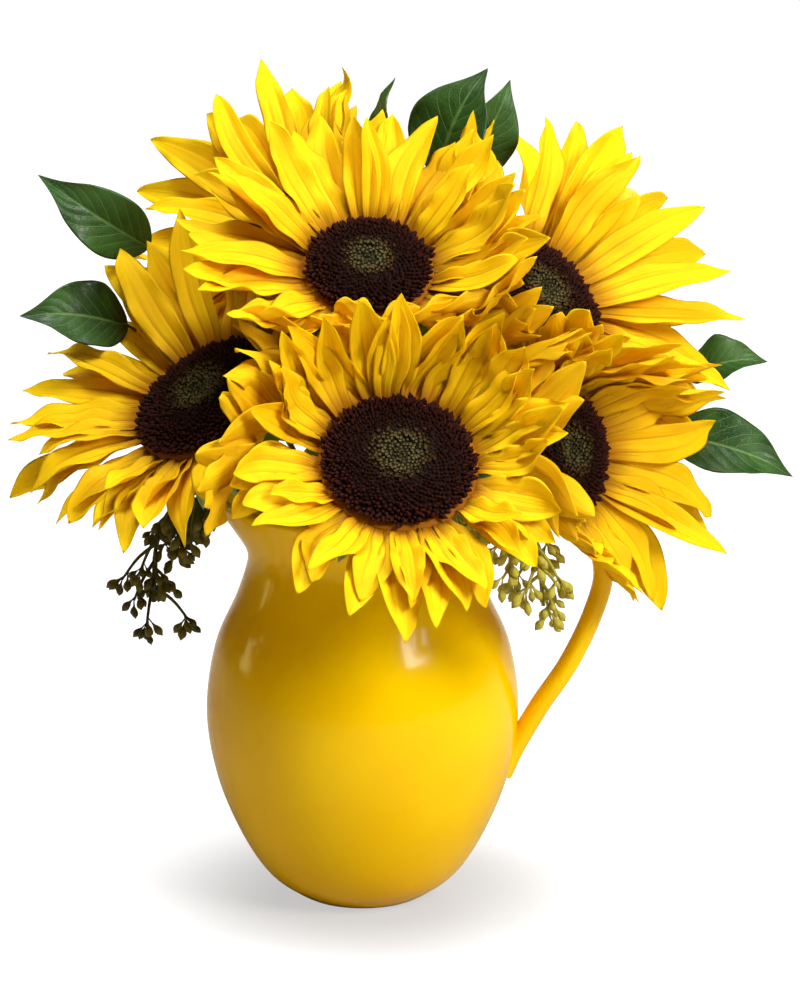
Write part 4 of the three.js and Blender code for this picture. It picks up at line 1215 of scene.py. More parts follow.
def cup_form(bloom):
    radius = bloom["disc"]
    profile = [(0, CUP["waist"] - 4), (STEM["radius"] - 0.4, CUP["waist"] - 3.5),
               (STEM["radius"] + 1.2, CUP["waist"]), (0.36 * radius, -18.5),
               (0.6 * radius, -15), (0.78 * radius, -11.8), (0.88 * radius, -9),
               (0.94 * radius, -7.2), (0.9 * radius, CUP["shelf"]),
               (0.78 * radius, CUP["shelf"]), (0.78 * radius, -3.4), (0, -3.4)]
    points, faces = spun(profile, CUP_SIDES)
    frame_axes = np.stack([bloom["up"], bloom["side"], bloom["facing"]])
    return bloom["centre"] + points @ frame_axes, faces


print("the front stem runs through", len(stem_route(BLOOMS[0])), "places")

# %% Bracts
def bract(bloom, turn, root_height, length, drop, half_width, whims):
    """One bract: a pointed green blade from the side of the cup, bent back, its tip curled."""
    rows, columns = 9, 5
    g = np.linspace(0, 1, rows)[:, None]
    u = np.linspace(-1, 1, columns)[None, :]
    root = BRACT_ROOT["share"] * bloom["disc"] - BRACT_ROOT["sunk"]
    width = half_width * np.where(g < 0.3, 0.85 + 0.15 * np.sin(g / 0.3 * math.pi / 2),
                                  (1 - ((g - 0.3) / 0.7)) ** 0.8)
    sway = between(whims, (-3, 3)) * g ** 2
    curl = between(whims, (-2.5, 4)) * smooth((g - 0.5) / 0.5)
    out = root + g * length * math.cos(drop) + 0 * u
    high = (root_height - g * length * math.sin(drop) * (0.7 + 0.5 * g) + curl
            + 0.16 * width * np.abs(u) ** 1.5)
    upper = kept_inside(on_bloom(bloom, turn + (u * width + sway) / root, out, high), bloom)
    thickness = (BRACT_THICKNESS * (1 - 0.7 * u ** 2) * (1 - 0.5 * g))[..., None]
    part = blade(upper[:, ::-1], (upper - thickness * bloom["facing"])[:, ::-1])
    part["tint"] = np.full(len(part["points"]), next(whims))
    part["kind"] = np.full(len(part["points"]), 1.0)
    return part


print("a bract is", BRACT_THICKNESS, "mm thick at its root")

# %% [markdown]
# A sunflower is rough to the touch, because short stiff hairs stand on its stem and bracts. Against
# the light they are a pale fringe. They are drawn in the same arrays as the blades that they stand
# on, which gives each hair its root and its way with no second search over the surface. Below the
# rim nobody sees them, so they start there.

# %% Hairs
HAIRS = {"on_stem": 1100, "on_bract": 12, "length": (0.8, 2.0), "radius": 0.08, "foot": 0.3,
         "astray": 0.35, "below_rim": 12, "steps": 200}
PALE = 2.5                                # a tint that takes the palest green


def hair_coat(roots, ways, seed):
    """Short stiff hairs, each a closed cone of three sides, from their roots along their ways."""
    draw = np.random.default_rng(seed)
    ways = ways + HAIRS["astray"] * draw.normal(size=ways.shape)
    ways /= np.linalg.norm(ways, axis=1)[:, None]
    side = np.cross(ways, (0.31, 0.52, 0.8))
    side /= np.linalg.norm(side, axis=1)[:, None]
    other = np.cross(ways, side)
    foot = roots - HAIRS["foot"] * ways
    ring = [foot + HAIRS["radius"] * (math.cos(a) * side + math.sin(a) * other)
            for a in np.arange(3) * TAU / 3]
    tips = roots + draw.uniform(*HAIRS["length"], len(roots))[:, None] * ways
    points = np.stack([*ring, tips], 1).reshape(-1, 3)
    faces = [(k + a, k + b, k + c) for k in range(0, len(points), 4)
             for a, b, c in ((0, 1, 3), (1, 2, 3), (2, 0, 3), (0, 2, 1))]
    return as_part((points, faces), under=0, tint=PALE, kind=0)


def stem_hairs(bloom):
    """Roots and ways of the hairs on the part of a stem that stands above the rim."""
    draw = np.random.default_rng(bloom["seed"])
    line = smooth_line(stem_route(bloom), HAIRS["steps"])
    _, across, other = frames_along(line)
    above = np.flatnonzero(line[:, 2] > RIM - HAIRS["below_rim"])
    at = draw.choice(above, HAIRS["on_stem"])
    turns = draw.uniform(0, TAU, len(at))[:, None]
    ways = np.cos(turns) * across[at] + np.sin(turns) * other[at]
    shift = draw.uniform(-0.5, 0.5, (len(at), 1)) * (line[1] - line[0])
    return line[at] + shift + (STEM["radius"] - 0.1) * ways, ways


def bract_hairs(bloom, bracts):
    """Roots and ways of the hairs on the backs and edges of the bracts."""
    draw = np.random.default_rng(bloom["seed"] + 1)
    roots = np.concatenate([part["points"][draw.choice(len(part["points"]), HAIRS["on_bract"])]
                            for part in bracts])
    out = roots - bloom["centre"]
    out -= (out @ bloom["facing"])[:, None] * bloom["facing"]
    out /= np.linalg.norm(out, axis=1)[:, None]
    return roots, 0.5 * out - bloom["facing"]


print(HAIRS["on_stem"], "hairs on a stem")

# %% All the green of a bloom
def green_parts(bloom):
    whims = seeded(bloom["seed"] + 1700)
    stem = rod(smooth_line(stem_route(bloom), STEM["rows"]), STEM["radius"], STEM["sides"])
    parts = [as_part(stem, under=0, tint=0.5, kind=0),
             as_part(cup_form(bloom), under=0, tint=0.5, kind=0.5)]
    draw = seeded(bloom["seed"] + 1000)
    count = PACKED_BRACTS["count"]
    for i in range(count):
        turn = (i + 0.5 * (next(draw) - 0.5)) / count * TAU
        length = between(draw, PACKED_BRACTS["length"])
        drop = between(draw, PACKED_BRACTS["drop"])
        parts.append(bract(bloom, turn, CUP["bract_root"], length, drop,
                           PACKED_BRACTS["half_width"], whims))
    for count, lengths, drops, height, half_width in BRACT_ROWS:
        start = TAU * next(draw)
        for i in range(count):
            turn = start + (i + 0.4 * (next(draw) - 0.5)) / count * TAU
            parts.append(bract(bloom, turn, height, between(draw, lengths),
                               between(draw, drops), half_width, whims))
    coats = [stem_hairs(bloom), bract_hairs(bloom, parts[2:])]
    return parts + [hair_coat(*coat, bloom["seed"] + 2) for coat in coats]


print("green parts of a bloom:", len(green_parts(BLOOMS[0])))

# %% [markdown]
# Stem and bracts are a soft, slightly downy green with fibres along them. Noise that is squashed
# along the height gives the fibres, and a little sheen gives the down. One value on each part
# tells stem from cup from bract, so a single material serves all three.

# %% Green finish
GREEN = {"stem": "7d9a45", "cup": "6f8e3c", "bract": "5d8233", "bract_edge": "8fae55",
         "pale": "a9bd6c"}

green_skin, tree, shader = new_material(
    "green_skin", Roughness=0.6, Specular_IOR_Level=0.35, Sheen_Weight=0.25,
    Subsurface_Weight=0.15, Subsurface_Scale=0.003)
shader.inputs["Subsurface Radius"].default_value = (0.5, 1.0, 0.15)
kind = add_node(tree, "ShaderNodeAttribute", attribute_name="kind").outputs["Fac"]
tint = add_node(tree, "ShaderNodeAttribute", attribute_name="tint").outputs["Fac"]
uv = add_node(tree, "ShaderNodeUVMap", uv_map="UVMap").outputs[0]
across = add_node(tree, "ShaderNodeSeparateXYZ", {0: uv})
place = add_node(tree, "ShaderNodeTexCoord").outputs["Object"]
fibre = add_node(tree, "ShaderNodeTexNoise", {
    "Vector": add_node(tree, "ShaderNodeMapping", {
        "Vector": place, "Scale": (1.0, 1.0, 0.12)}).outputs[0],
    "Scale": 700.0, "Detail": 2.0}).outputs["Fac"]
mottle = add_node(tree, "ShaderNodeTexNoise", {
    "Vector": place, "Scale": 90.0, "Detail": 3.0}).outputs["Fac"]
colour = blend_colours(tree, kind, ink(GREEN["stem"]), ink(GREEN["bract"]))
colour = blend_colours(tree, maths(tree, "MULTIPLY", tint, 0.35), colour, ink(GREEN["pale"]))
colour = blend_colours(tree, add_node(tree, "ShaderNodeMapRange", {
    0: mottle, 1: 0.4, 2: 0.7, 4: 0.5}).outputs[0], colour, ink(GREEN["cup"]))
colour = blend_colours(tree, add_node(tree, "ShaderNodeMapRange", {
    0: fibre, 1: 0.55, 2: 0.75, 4: 0.3}).outputs[0], colour, ink(GREEN["bract_edge"]))
tree.links.new(colour, shader.inputs["Base Color"])
tree.links.new(add_node(tree, "ShaderNodeBump", {
    "Height": fibre, "Strength": 0.3, "Distance": 0.0006}).outputs[0], shader.inputs["Normal"])

print("green finish ready")

# %% Make the stems
for bloom in BLOOMS:
    piece = make_piece(f"stem_{bloom['name']}", joined(green_parts(bloom)), green_skin)
    stand_for(piece, "green_stem", f"sunflower_{bloom['name']}_stem")
    print(piece.name, len(piece.data.polygons), "faces")

# %% [markdown]
# ## Lemon leaf
#
# Florists fill a sunflower bouquet with lemon leaf: broad, leathery leaves with a drawn-out tip.
# The blade folds a little along its midrib and bows along its length. The side veins leave the
# midrib at a slant and lie in shallow grooves, so they are made in the mesh as well as in the
# colour. Five sprigs stand between the blooms, each with two or three leaves on short stalks.

# %% Leaf places
LEAF_SPRIGS = [
    {"name": "left", "neck": (-40, 4), "rim": (-46, 10), "via": [(-68, 30, 230), (-94, 40, 258)],
     "leaves": [
         {"joint": (-92, 39, 256), "from": (-102, 44, 308), "to": (-152, 24, 346),
          "looks": (-0.3, -0.9, 0.4), "width": 34},
         {"joint": (-92, 39, 256), "from": (-112, 34, 272), "to": (-161, 12, 282),
          "looks": (-0.1, -0.8, 0.5), "width": 38}]},
    {"name": "top", "neck": (9, 12), "rim": (14, 20), "via": [(22, 40, 270), (26, 56, 322)],
     "leaves": [
         {"joint": (26, 55, 318), "from": (12, 62, 348), "to": (14, 60, 388),
          "looks": (-0.9, -0.4, 0.1), "width": 20},
         {"joint": (26, 55, 318), "from": (36, 66, 339), "to": (59, 61, 392),
          "looks": (-0.4, -0.9, 0.1), "width": 46},
         {"joint": (26, 55, 318), "from": (48, 75, 338), "to": (72, 75, 384),
          "looks": (0.4, -0.9, 0.1), "width": 34}]},
    {"name": "right", "neck": (41, 12), "rim": (46, 14), "via": [(78, 26, 222), (112, 26, 240)],
     "leaves": [
         {"joint": (110, 26, 239), "from": (160, 80, 238), "to": (197, 66, 249),
          "looks": (0, -0.6, 0.8), "width": 34},
         {"joint": (92, 26, 229), "from": (147, 42, 217), "to": (208, 30, 200),
          "looks": (0.1, -0.75, 0.6), "width": 38}]},
    {"name": "back_left", "neck": (-26, 34), "rim": (-30, 42),
     "via": [(-48, 68, 226), (-60, 84, 240)],
     "leaves": [
         {"joint": (-58, 82, 238), "from": (-72, 92, 250), "to": (-104, 112, 276),
          "looks": (-0.5, 0.3, 0.8), "width": 34},
         {"joint": (-46, 66, 224), "from": (-50, 92, 222), "to": (-62, 134, 214),
          "looks": (-0.2, 0.3, 0.9), "width": 36}]},
    {"name": "back_right", "neck": (32, 28), "rim": (38, 36),
     "via": [(66, 60, 222), (84, 74, 236)],
     "leaves": [
         {"joint": (82, 73, 234), "from": (108, 76, 230), "to": (144, 92, 246),
          "looks": (0.5, 0.3, 0.8), "width": 34},
         {"joint": (64, 58, 221), "from": (82, 82, 214), "to": (106, 118, 202),
          "looks": (0.2, 0.4, 0.9), "width": 36}]},
]
leaf_count = sum(len(sprig["leaves"]) for sprig in LEAF_SPRIGS)
print(leaf_count, "leaves on", len(LEAF_SPRIGS), "sprigs")

# %% Leaf form
LEAF = {"rows": 45, "columns": 25, "bow": 0.1, "fold": 0.25, "thickness": 0.7, "veins": 8.0,
        "slant": 0.34, "ripple": 1.3}
STALK_RADIUS, STALK_ROWS, STALK_SIDES = 1.2, 16, 10
SPRIG_RADIUS, SPRIG_ROWS, SPRIG_SIDES = 1.8, 70, 12


def leaf_width(grown):
    """Half the width along a leaf, as a share of its full half width."""
    oval = np.sin(math.pi * grown ** 0.8) ** 0.85 * (1 - 0.25 * grown)
    return oval * (1 - 0.45 * smooth((grown - 0.68) / 0.32))


def leaf_part(leaf, whims):
    base, tip = vec(*leaf["from"]), vec(*leaf["to"])
    span = tip - base
    length = np.linalg.norm(span)
    along = span / length
    face = vec(*leaf["looks"])
    face = unit(face - along * (face @ along))
    across = np.cross(along, face)
    g = np.linspace(0, 1, LEAF["rows"])[:, None]
    u = np.linspace(-1, 1, LEAF["columns"])[None, :]
    half = np.maximum(leaf["width"] / 2 * np.nan_to_num(leaf_width(g)), 0.8 * (1 - g))
    phase, waves = TAU * next(whims), between(whims, (1.5, 2.6))
    vein = np.cos((g - LEAF["slant"] * np.abs(u)) * LEAF["veins"] * TAU)
    groove = -0.26 * smooth((vein - 0.7) / 0.3) * np.minimum(half / 6, 1) * (1 - np.abs(u) ** 4)
    bulge = 0.16 * smooth(-vein) * np.minimum(half / 6, 1)
    rib = -0.7 * np.exp(-(u * half / 1.1) ** 2) * (1 - g)
    edge = LEAF["ripple"] * np.abs(u) ** 3 * np.sin(waves * TAU * g + phase + (u > 0) * 1.7)
    edge = edge * np.sin(math.pi * g)
    tip_curl = -0.05 * length * smooth((g - 0.75) / 0.25)
    lift = (LEAF["bow"] * length * np.sin(math.pi * g) + LEAF["fold"] * half * np.abs(u) ** 1.3
            + groove + bulge + rib + edge + tip_curl)
    sway = 0.03 * length * np.sin(math.pi * g) * (next(whims) - 0.5) * 2
    upper = (base + (g * length)[..., None] * along + (u * half + sway)[..., None] * across
             + lift[..., None] * face)
    thickness = LEAF["thickness"] * (1 - 0.6 * u ** 2) * (1 - 0.5 * g) * np.minimum(half / 2, 1)
    under_rib = 0.9 * np.exp(-(u * half / 1.0) ** 2) * (1 - g)
    lower = upper - (thickness + under_rib * (np.abs(u) < 0.99))[..., None] * face
    part = blade(upper, lower)
    count = len(part["points"])
    part["tint"], part["kind"] = np.full(count, next(whims)), np.ones(count)
    return part


print("a leaf has", LEAF["rows"], "rows of", LEAF["columns"], "points")

# %% Sprig form
def sprig_route(sprig):
    (nx, ny), (rx, ry) = sprig["neck"], sprig["rim"]
    return [(0.6 * nx, 0.6 * ny, FEET), (nx, ny, NECK), (rx, ry, RIM + 2), *sprig["via"]]


def leafy_parts(sprig, whims):
    line = smooth_line(sprig_route(sprig), SPRIG_ROWS)
    thin = np.linspace(1.05, 0.72, len(line))
    parts = [as_part(rod(line, SPRIG_RADIUS * thin, SPRIG_SIDES), under=0, tint=0.5, kind=0)]
    for leaf in sprig["leaves"]:
        beyond = vec(*leaf["from"]) + 0.1 * (vec(*leaf["to"]) - vec(*leaf["from"]))
        stalk = smooth_line([leaf["joint"], leaf["from"], beyond], STALK_ROWS)
        thin = np.linspace(1, 0.5, len(stalk))
        stalk_rod = rod(stalk, STALK_RADIUS * thin, STALK_SIDES)
        parts.append(as_part(stalk_rod, under=0, tint=0.5, kind=0.3))
        parts.append(leaf_part(leaf, whims))
    return parts


print("the stem of a sprig is", 2 * SPRIG_RADIUS, "mm thick, a stalk", 2 * STALK_RADIUS)

# %% [markdown]
# Lemon leaf and the small eucalyptus leaves have the same kind of veins, so those are one node
# group with its own inputs. It reads the leaf's own map: across from 0 to 1, and along from the
# stalk to the tip. It puts out a mask for the big veins and one for the fine net between them.

# %% Vein group
def vein_group():
    tree = bpy.data.node_groups.new("leaf_veins", "ShaderNodeTree")
    for name, kind in (("Map", "NodeSocketVector"), ("Pairs", "NodeSocketFloat"),
                       ("Slant", "NodeSocketFloat")):
        tree.interface.new_socket(name=name, in_out="INPUT", socket_type=kind)
    for name in ("Veins", "Net"):
        tree.interface.new_socket(name=name, in_out="OUTPUT", socket_type="NodeSocketFloat")
    given, result = add_node(tree, "NodeGroupInput"), add_node(tree, "NodeGroupOutput")
    spread = add_node(tree, "ShaderNodeSeparateXYZ", {0: given.outputs["Map"]})
    u = maths(tree, "ABSOLUTE", maths(tree, "SUBTRACT", maths(
        tree, "MULTIPLY", spread.outputs["X"], 2.0), 1.0))
    slanted = maths(tree, "SUBTRACT", spread.outputs["Y"], maths(
        tree, "MULTIPLY", u, given.outputs["Slant"]))
    wave = maths(tree, "COSINE", maths(tree, "MULTIPLY", maths(
        tree, "MULTIPLY", slanted, given.outputs["Pairs"]), TAU))
    side = add_node(tree, "ShaderNodeMapRange", {0: wave, 1: 0.965, 2: 1.0}).outputs[0]
    fade = add_node(tree, "ShaderNodeMapRange", {0: u, 1: 1.0, 2: 0.5}).outputs[0]
    middle = add_node(tree, "ShaderNodeMapRange", {0: u, 1: 0.06, 2: 0.02}).outputs[0]
    both = maths(tree, "MAXIMUM", maths(tree, "MULTIPLY", side, fade), middle)
    net_place = add_node(tree, "ShaderNodeMapping", {
        "Vector": given.outputs["Map"], "Scale": (9.0, 22.0, 1.0)}).outputs[0]
    cells = add_node(tree, "ShaderNodeTexVoronoi", {"Vector": net_place, "Scale": 1.6},
                     feature="DISTANCE_TO_EDGE").outputs["Distance"]
    net = add_node(tree, "ShaderNodeMapRange", {0: cells, 1: 0.06, 2: 0.0}).outputs[0]
    tree.links.new(both, result.inputs["Veins"])
    tree.links.new(net, result.inputs["Net"])
    return tree


VEINS = vein_group()
print("vein group:", len(VEINS.nodes), "nodes")

# %% [markdown]
# The upper face of the leaf is deep green and waxy, with paler veins. The lower face is dull and
# greyish, with veins that stand out more. The mesh has marked which face is which, so one material
# blends the two, and the veins come last, so that they show on both.

# %% Leaf finish
LEAF_INK = {"top": "1b3d12", "light": "345f1e", "vein": "6f9450", "under": "74885a",
            "under_vein": "a3b380", "stem": "5a5a2c"}

leaf_skin, tree, shader = new_material(
    "lemon_leaf_skin", Specular_IOR_Level=0.3, Coat_Weight=0.06, Coat_Roughness=0.3,
    Subsurface_Weight=0.06, Subsurface_Scale=0.002)
uv = add_node(tree, "ShaderNodeUVMap", uv_map="UVMap").outputs[0]
veins = add_node(tree, "ShaderNodeGroup", node_tree=VEINS)
tree.links.new(uv, veins.inputs["Map"])
veins.inputs["Pairs"].default_value, veins.inputs["Slant"].default_value = 8.0, LEAF["slant"]
kind = add_node(tree, "ShaderNodeAttribute", attribute_name="kind").outputs["Fac"]
tint = add_node(tree, "ShaderNodeAttribute", attribute_name="tint").outputs["Fac"]
under = add_node(tree, "ShaderNodeAttribute", attribute_name="under").outputs["Fac"]
place = add_node(tree, "ShaderNodeTexCoord").outputs["Object"]
mottle = add_node(tree, "ShaderNodeTexNoise", {
    "Vector": place, "Scale": 60.0, "Detail": 4.0}).outputs["Fac"]
light_share = add_node(tree, "ShaderNodeMapRange", {
    0: maths(tree, "ADD", mottle, maths(tree, "MULTIPLY", tint, 0.2)), 1: 0.45, 2: 0.85}).outputs[0]
colour = blend_colours(tree, light_share, ink(LEAF_INK["top"]), ink(LEAF_INK["light"]))
colour = blend_colours(tree, maths(tree, "MULTIPLY", veins.outputs["Net"], 0.25), colour,
                       ink(LEAF_INK["light"]))
colour = blend_colours(tree, maths(tree, "MULTIPLY", under, 0.85), colour,
                       ink(LEAF_INK["under"]))
vein_ink = blend_colours(tree, under, ink(LEAF_INK["vein"]), ink(LEAF_INK["under_vein"]))
colour = blend_colours(tree, maths(tree, "MULTIPLY", veins.outputs["Veins"], 0.5), colour,
                       vein_ink)
wood = add_node(tree, "ShaderNodeMapRange", {0: kind, 1: 0.6, 2: 0.4}).outputs[0]
colour = blend_colours(tree, wood, colour, ink(LEAF_INK["stem"]))
tree.links.new(colour, shader.inputs["Base Color"])
tree.links.new(add_node(tree, "ShaderNodeMapRange", {
    0: maths(tree, "ADD", maths(tree, "MULTIPLY", under, 0.3), mottle),
    1: 0.3, 2: 1.0, 3: 0.3, 4: 0.62}).outputs[0], shader.inputs["Roughness"])
height = maths(tree, "SUBTRACT", maths(tree, "MULTIPLY", mottle, 0.3),
               maths(tree, "ADD", maths(tree, "MULTIPLY", veins.outputs["Veins"], 0.6),
                     maths(tree, "MULTIPLY", veins.outputs["Net"], 0.35)))
tree.links.new(add_node(tree, "ShaderNodeBump", {
    "Height": height, "Strength": 0.5, "Distance": 0.0005}).outputs[0], shader.inputs["Normal"])

print("leaf finish ready")

# %% Make the leaf sprigs
for number, sprig in enumerate(LEAF_SPRIGS):
    parts = leafy_parts(sprig, seeded(300 + number))
    piece = make_piece(f"lemon_leaf_{sprig['name']}", joined(parts), leaf_skin)
    stand_for(piece, "lemon_leaf", f"leaf_sprig_{sprig['name']}")
    print(piece.name, len(piece.data.polygons), "faces")

# %% [markdown]
# ## Seeded eucalyptus
#
# Two thin sprigs hang over the rim. From the hanging end, twigs leave on all sides, and each ends
# in a small bunch of seed capsules. The skeleton is a set of plain lines with a radius at each
# point. A Geometry Nodes tree gives the lines their thickness and puts a capsule on every marked
# point, turned to the way that point looks.

# %% Sprig skeletons
# The tone of a sprig is painted light and shade: 0 for the shaded left one, 1 for the lit right
# one.
SEEDED_SPRIGS = [
    {"name": "left", "neck": (-36, -25), "rim": (-45, -27), "seed": 5, "painted_light_tone": 0.0,
     "via": [(-64, -28, 207), (-84, -26, 201), (-96, -26, 180), (-98, -27, 152)],
     "bunches": 22, "capsules": 6, "hangs_from": 0.75, "hangs_to": 0.98, "reach": (9, 24),
     "leaf": {"from": (-77, -29, 203), "to": (-80, -37, 181), "looks": (-0.2, -1, 0.2),
              "width": 15}},
    {"name": "right", "neck": (20, -39), "rim": (30, -40), "seed": 9, "painted_light_tone": 1.0,
     "via": [(50, -61, 213), (67, -81, 212), (79, -91, 197), (83, -92, 168)],
     "bunches": 25, "capsules": 6, "hangs_from": 0.7, "hangs_to": 0.98, "reach": (8, 23),
     "leaf": {"from": (62, -71, 211), "to": (66, -92, 199), "looks": (0.1, -0.5, 0.9),
              "width": 13}},
]
GOLDEN_TURN = 2.4                         # radians from one twig or capsule to the next
SKELETON_ROWS = 90
CAPSULE_PROFILE = [(0, 0), (0.42, 0), (0.5, 4.4), (0.95, 6.2), (2.0, 8.0), (2.6, 9.9),
                   (2.3, 11.6), (1.2, 12.9), (0.35, 14.0), (0, 14.4)]
CAPSULE_SIDES = 8
CAPSULE_CLEARANCE = 80       # from the pitcher's axis to the end of a twig


print("capsules on the sprigs:", [each["bunches"] * each["capsules"] for each in SEEDED_SPRIGS])

# %% Sprig lines and capsule places
def clear_of_neck(end):
    """The end of a twig, moved straight out where its capsules would touch the pitcher's neck."""
    out = vec(end[0], end[1], 0)
    gap = CAPSULE_CLEARANCE - np.linalg.norm(out)
    return (end + gap * unit(out), unit(out)) if gap > 0 else (end, None)


def seeded_skeleton(sprig):
    """Lines with radii, and the places and directions of the capsules."""
    draw = seeded(sprig["seed"])
    route = smooth_line(sprig_route(sprig), SKELETON_ROWS)
    lines = [(route, np.linspace(SPRIG_RADIUS, 0.9, len(route)))]
    places, axes = [], []
    for i in range(sprig["bunches"]):
        low, high = sprig["hangs_from"], sprig["hangs_to"]
        along = low + (high - low) * (i + 0.5) / sprig["bunches"]
        spot = along * (len(route) - 1)
        start = route[int(spot)] + (spot % 1) * (route[min(int(spot) + 1, len(route) - 1)]
                                                 - route[int(spot)])
        turn = i * GOLDEN_TURN + next(draw)
        out = unit(vec(math.cos(turn), 0.75 * math.sin(turn), -0.9))
        reach = between(draw, sprig["reach"])
        end, outwards = clear_of_neck(start + out * reach + vec(0, 0, -0.12 * reach))
        middle = start + 0.55 * (end - start) + vec(0, 0, 0.1 * reach)
        twig = smooth_line([start, middle, end], 8)
        lines.append((twig, np.linspace(0.95, 0.6, len(twig))))
        tip_way = unit(twig[-1] - twig[-2])
        for k in range(sprig["capsules"]):
            swing = k * GOLDEN_TURN + next(draw)
            spread = vec(math.cos(swing), math.sin(swing), -0.35 - 0.5 * next(draw))
            away = unit(unit(spread) + (0.55 if k else 1.6) * tip_way)
            if outwards is not None and away @ outwards < 0:
                away = away - 2 * (away @ outwards) * outwards
            root = end - tip_way * (k % 3) * 2.4
            places.append(root)
            axes.append(away)
    return lines, np.array(places), np.array(axes)


print("capsules stay", CAPSULE_CLEARANCE, "mm from the pitcher's axis")

# %% The tree that thickens a skeleton and hangs the capsules
sprig_tree = bpy.data.node_groups.new("seeded_sprig", "GeometryNodeTree")
given, result = group_inputs(sprig_tree, [
    ("Geometry", "NodeSocketGeometry", None), ("Capsule", "NodeSocketObject", None),
    ("Sides", "NodeSocketInt", 9), ("Least Size", "NodeSocketFloat", 0.58),
    ("Seed", "NodeSocketInt", 0), ("Material", "NodeSocketMaterial", None),
])


def named(tree, name, kind="FLOAT"):
    made = add_node(tree, "GeometryNodeInputNamedAttribute", {"Name": name}, data_type=kind)
    return made.outputs["Attribute"]


hangs = named(sprig_tree, "capsule")
split = add_node(sprig_tree, "GeometryNodeSeparateGeometry", {
    "Geometry": given.outputs["Geometry"],
    "Selection": maths(sprig_tree, "GREATER_THAN", hangs, 0.5)})
curves = add_node(sprig_tree, "GeometryNodeMeshToCurve", {
    "Mesh": split.outputs["Inverted"]}).outputs[0]
section = add_node(sprig_tree, "GeometryNodeCurvePrimitiveCircle", {
    "Resolution": given.outputs["Sides"], "Radius": 1.0}).outputs["Curve"]
twigs = add_node(sprig_tree, "GeometryNodeCurveToMesh", {
    "Curve": curves, "Profile Curve": section, "Scale": named(sprig_tree, "thick"),
    "Fill Caps": True}).outputs[0]
twigs = marked(sprig_tree, twigs, "kind", 0.0)
form = add_node(sprig_tree, "GeometryNodeObjectInfo", {
    "Object": given.outputs["Capsule"], "As Instance": True}).outputs["Geometry"]
turned_to = add_node(sprig_tree, "FunctionNodeAlignRotationToVector", {
    "Vector": named(sprig_tree, "axis", "FLOAT_VECTOR")}, axis="Z").outputs[0]
size = random_value(sprig_tree, 0.0, 1.0, given.outputs["Seed"], 1)
scale = maths(sprig_tree, "ADD", given.outputs["Least Size"], maths(
    sprig_tree, "MULTIPLY", size, 0.28))
spots = add_node(sprig_tree, "GeometryNodeMeshToPoints", {"Mesh": split.outputs["Selection"]})
capsules = add_node(sprig_tree, "GeometryNodeInstanceOnPoints", {
    "Points": spots.outputs[0], "Instance": form, "Rotation": turned_to,
    "Scale": scale}).outputs[0]
capsules = marked(sprig_tree, capsules, "tint", size, "INSTANCE")
capsules = marked(sprig_tree, capsules, "kind", 0.5, "INSTANCE")
whole = add_node(sprig_tree, "GeometryNodeJoinGeometry")
for part in (twigs, capsules):
    sprig_tree.links.new(part, whole.inputs[0])
real = add_node(sprig_tree, "GeometryNodeRealizeInstances", {0: whole.outputs[0]}).outputs[0]
smoothed = add_node(sprig_tree, "GeometryNodeSetShadeSmooth", {"Geometry": real}).outputs[0]
finish = add_node(sprig_tree, "GeometryNodeSetMaterial", {
    "Geometry": smoothed, "Material": given.outputs["Material"]}).outputs[0]
sprig_tree.links.new(finish, result.inputs[0])
print("sprig tree:", len(sprig_tree.nodes), "nodes")

# %% [markdown]
# One sprig is painted dark as shade and the other, which gets more light, is painted pale olive as
# light, on copies of one material, so the whole sprig carries one value for that painted light and
# shade. A capsule is browner at its crown. The leaf takes the vein group again, with more and
# flatter veins.

# %% Eucalyptus finish
EUCALYPTUS = {"dark": "44451c", "olive": "a29a3a", "seed_dark": "3d3f18", "seed": "bdb340",
              "crown": "6a4f2a", "leaf": "2f4a22"}

seeded_skin, tree, shader = new_material(
    "eucalyptus_skin", Roughness=0.55, Specular_IOR_Level=0.22)
kind = add_node(tree, "ShaderNodeAttribute", attribute_name="kind").outputs["Fac"]
tint = add_node(tree, "ShaderNodeAttribute", attribute_name="tint").outputs["Fac"]
painted_light_tone = add_node(tree, "ShaderNodeAttribute", attribute_name="painted_light_tone").outputs["Fac"]
high = add_node(tree, "ShaderNodeAttribute", attribute_name="high").outputs["Fac"]
uv = add_node(tree, "ShaderNodeUVMap", uv_map="UVMap").outputs[0]
veins = add_node(tree, "ShaderNodeGroup", node_tree=VEINS)
tree.links.new(uv, veins.inputs["Map"])
veins.inputs["Pairs"].default_value, veins.inputs["Slant"].default_value = 12.0, 0.3
place = add_node(tree, "ShaderNodeTexCoord").outputs["Object"]
mottle = add_node(tree, "ShaderNodeTexNoise", {
    "Vector": place, "Scale": 420.0, "Detail": 3.0}).outputs["Fac"]
# Painted light and shade: twigs and capsules of the lit sprig are pale olive, those of the shaded
# one dark.
twig_ink = blend_colours(tree, painted_light_tone, ink(EUCALYPTUS["dark"]), ink(EUCALYPTUS["olive"]))
seed_ink = blend_colours(tree, maths(tree, "ADD", maths(tree, "MULTIPLY", painted_light_tone, 0.8), maths(
    tree, "MULTIPLY", tint, 0.2)), ink(EUCALYPTUS["seed_dark"]), ink(EUCALYPTUS["seed"]))
crown = add_node(tree, "ShaderNodeMapRange", {0: high, 1: 0.82, 2: 0.95, 4: 0.6}).outputs[0]
seed_ink = blend_colours(tree, crown, seed_ink, ink(EUCALYPTUS["crown"]))
colour = blend_colours(tree, maths(tree, "GREATER_THAN", kind, 0.25), twig_ink, seed_ink)
leaf_ink = blend_colours(tree, maths(tree, "MULTIPLY", veins.outputs["Veins"], 0.5),
                         ink(EUCALYPTUS["leaf"]), ink(EUCALYPTUS["olive"]))
colour = blend_colours(tree, maths(tree, "GREATER_THAN", kind, 0.75), colour, leaf_ink)
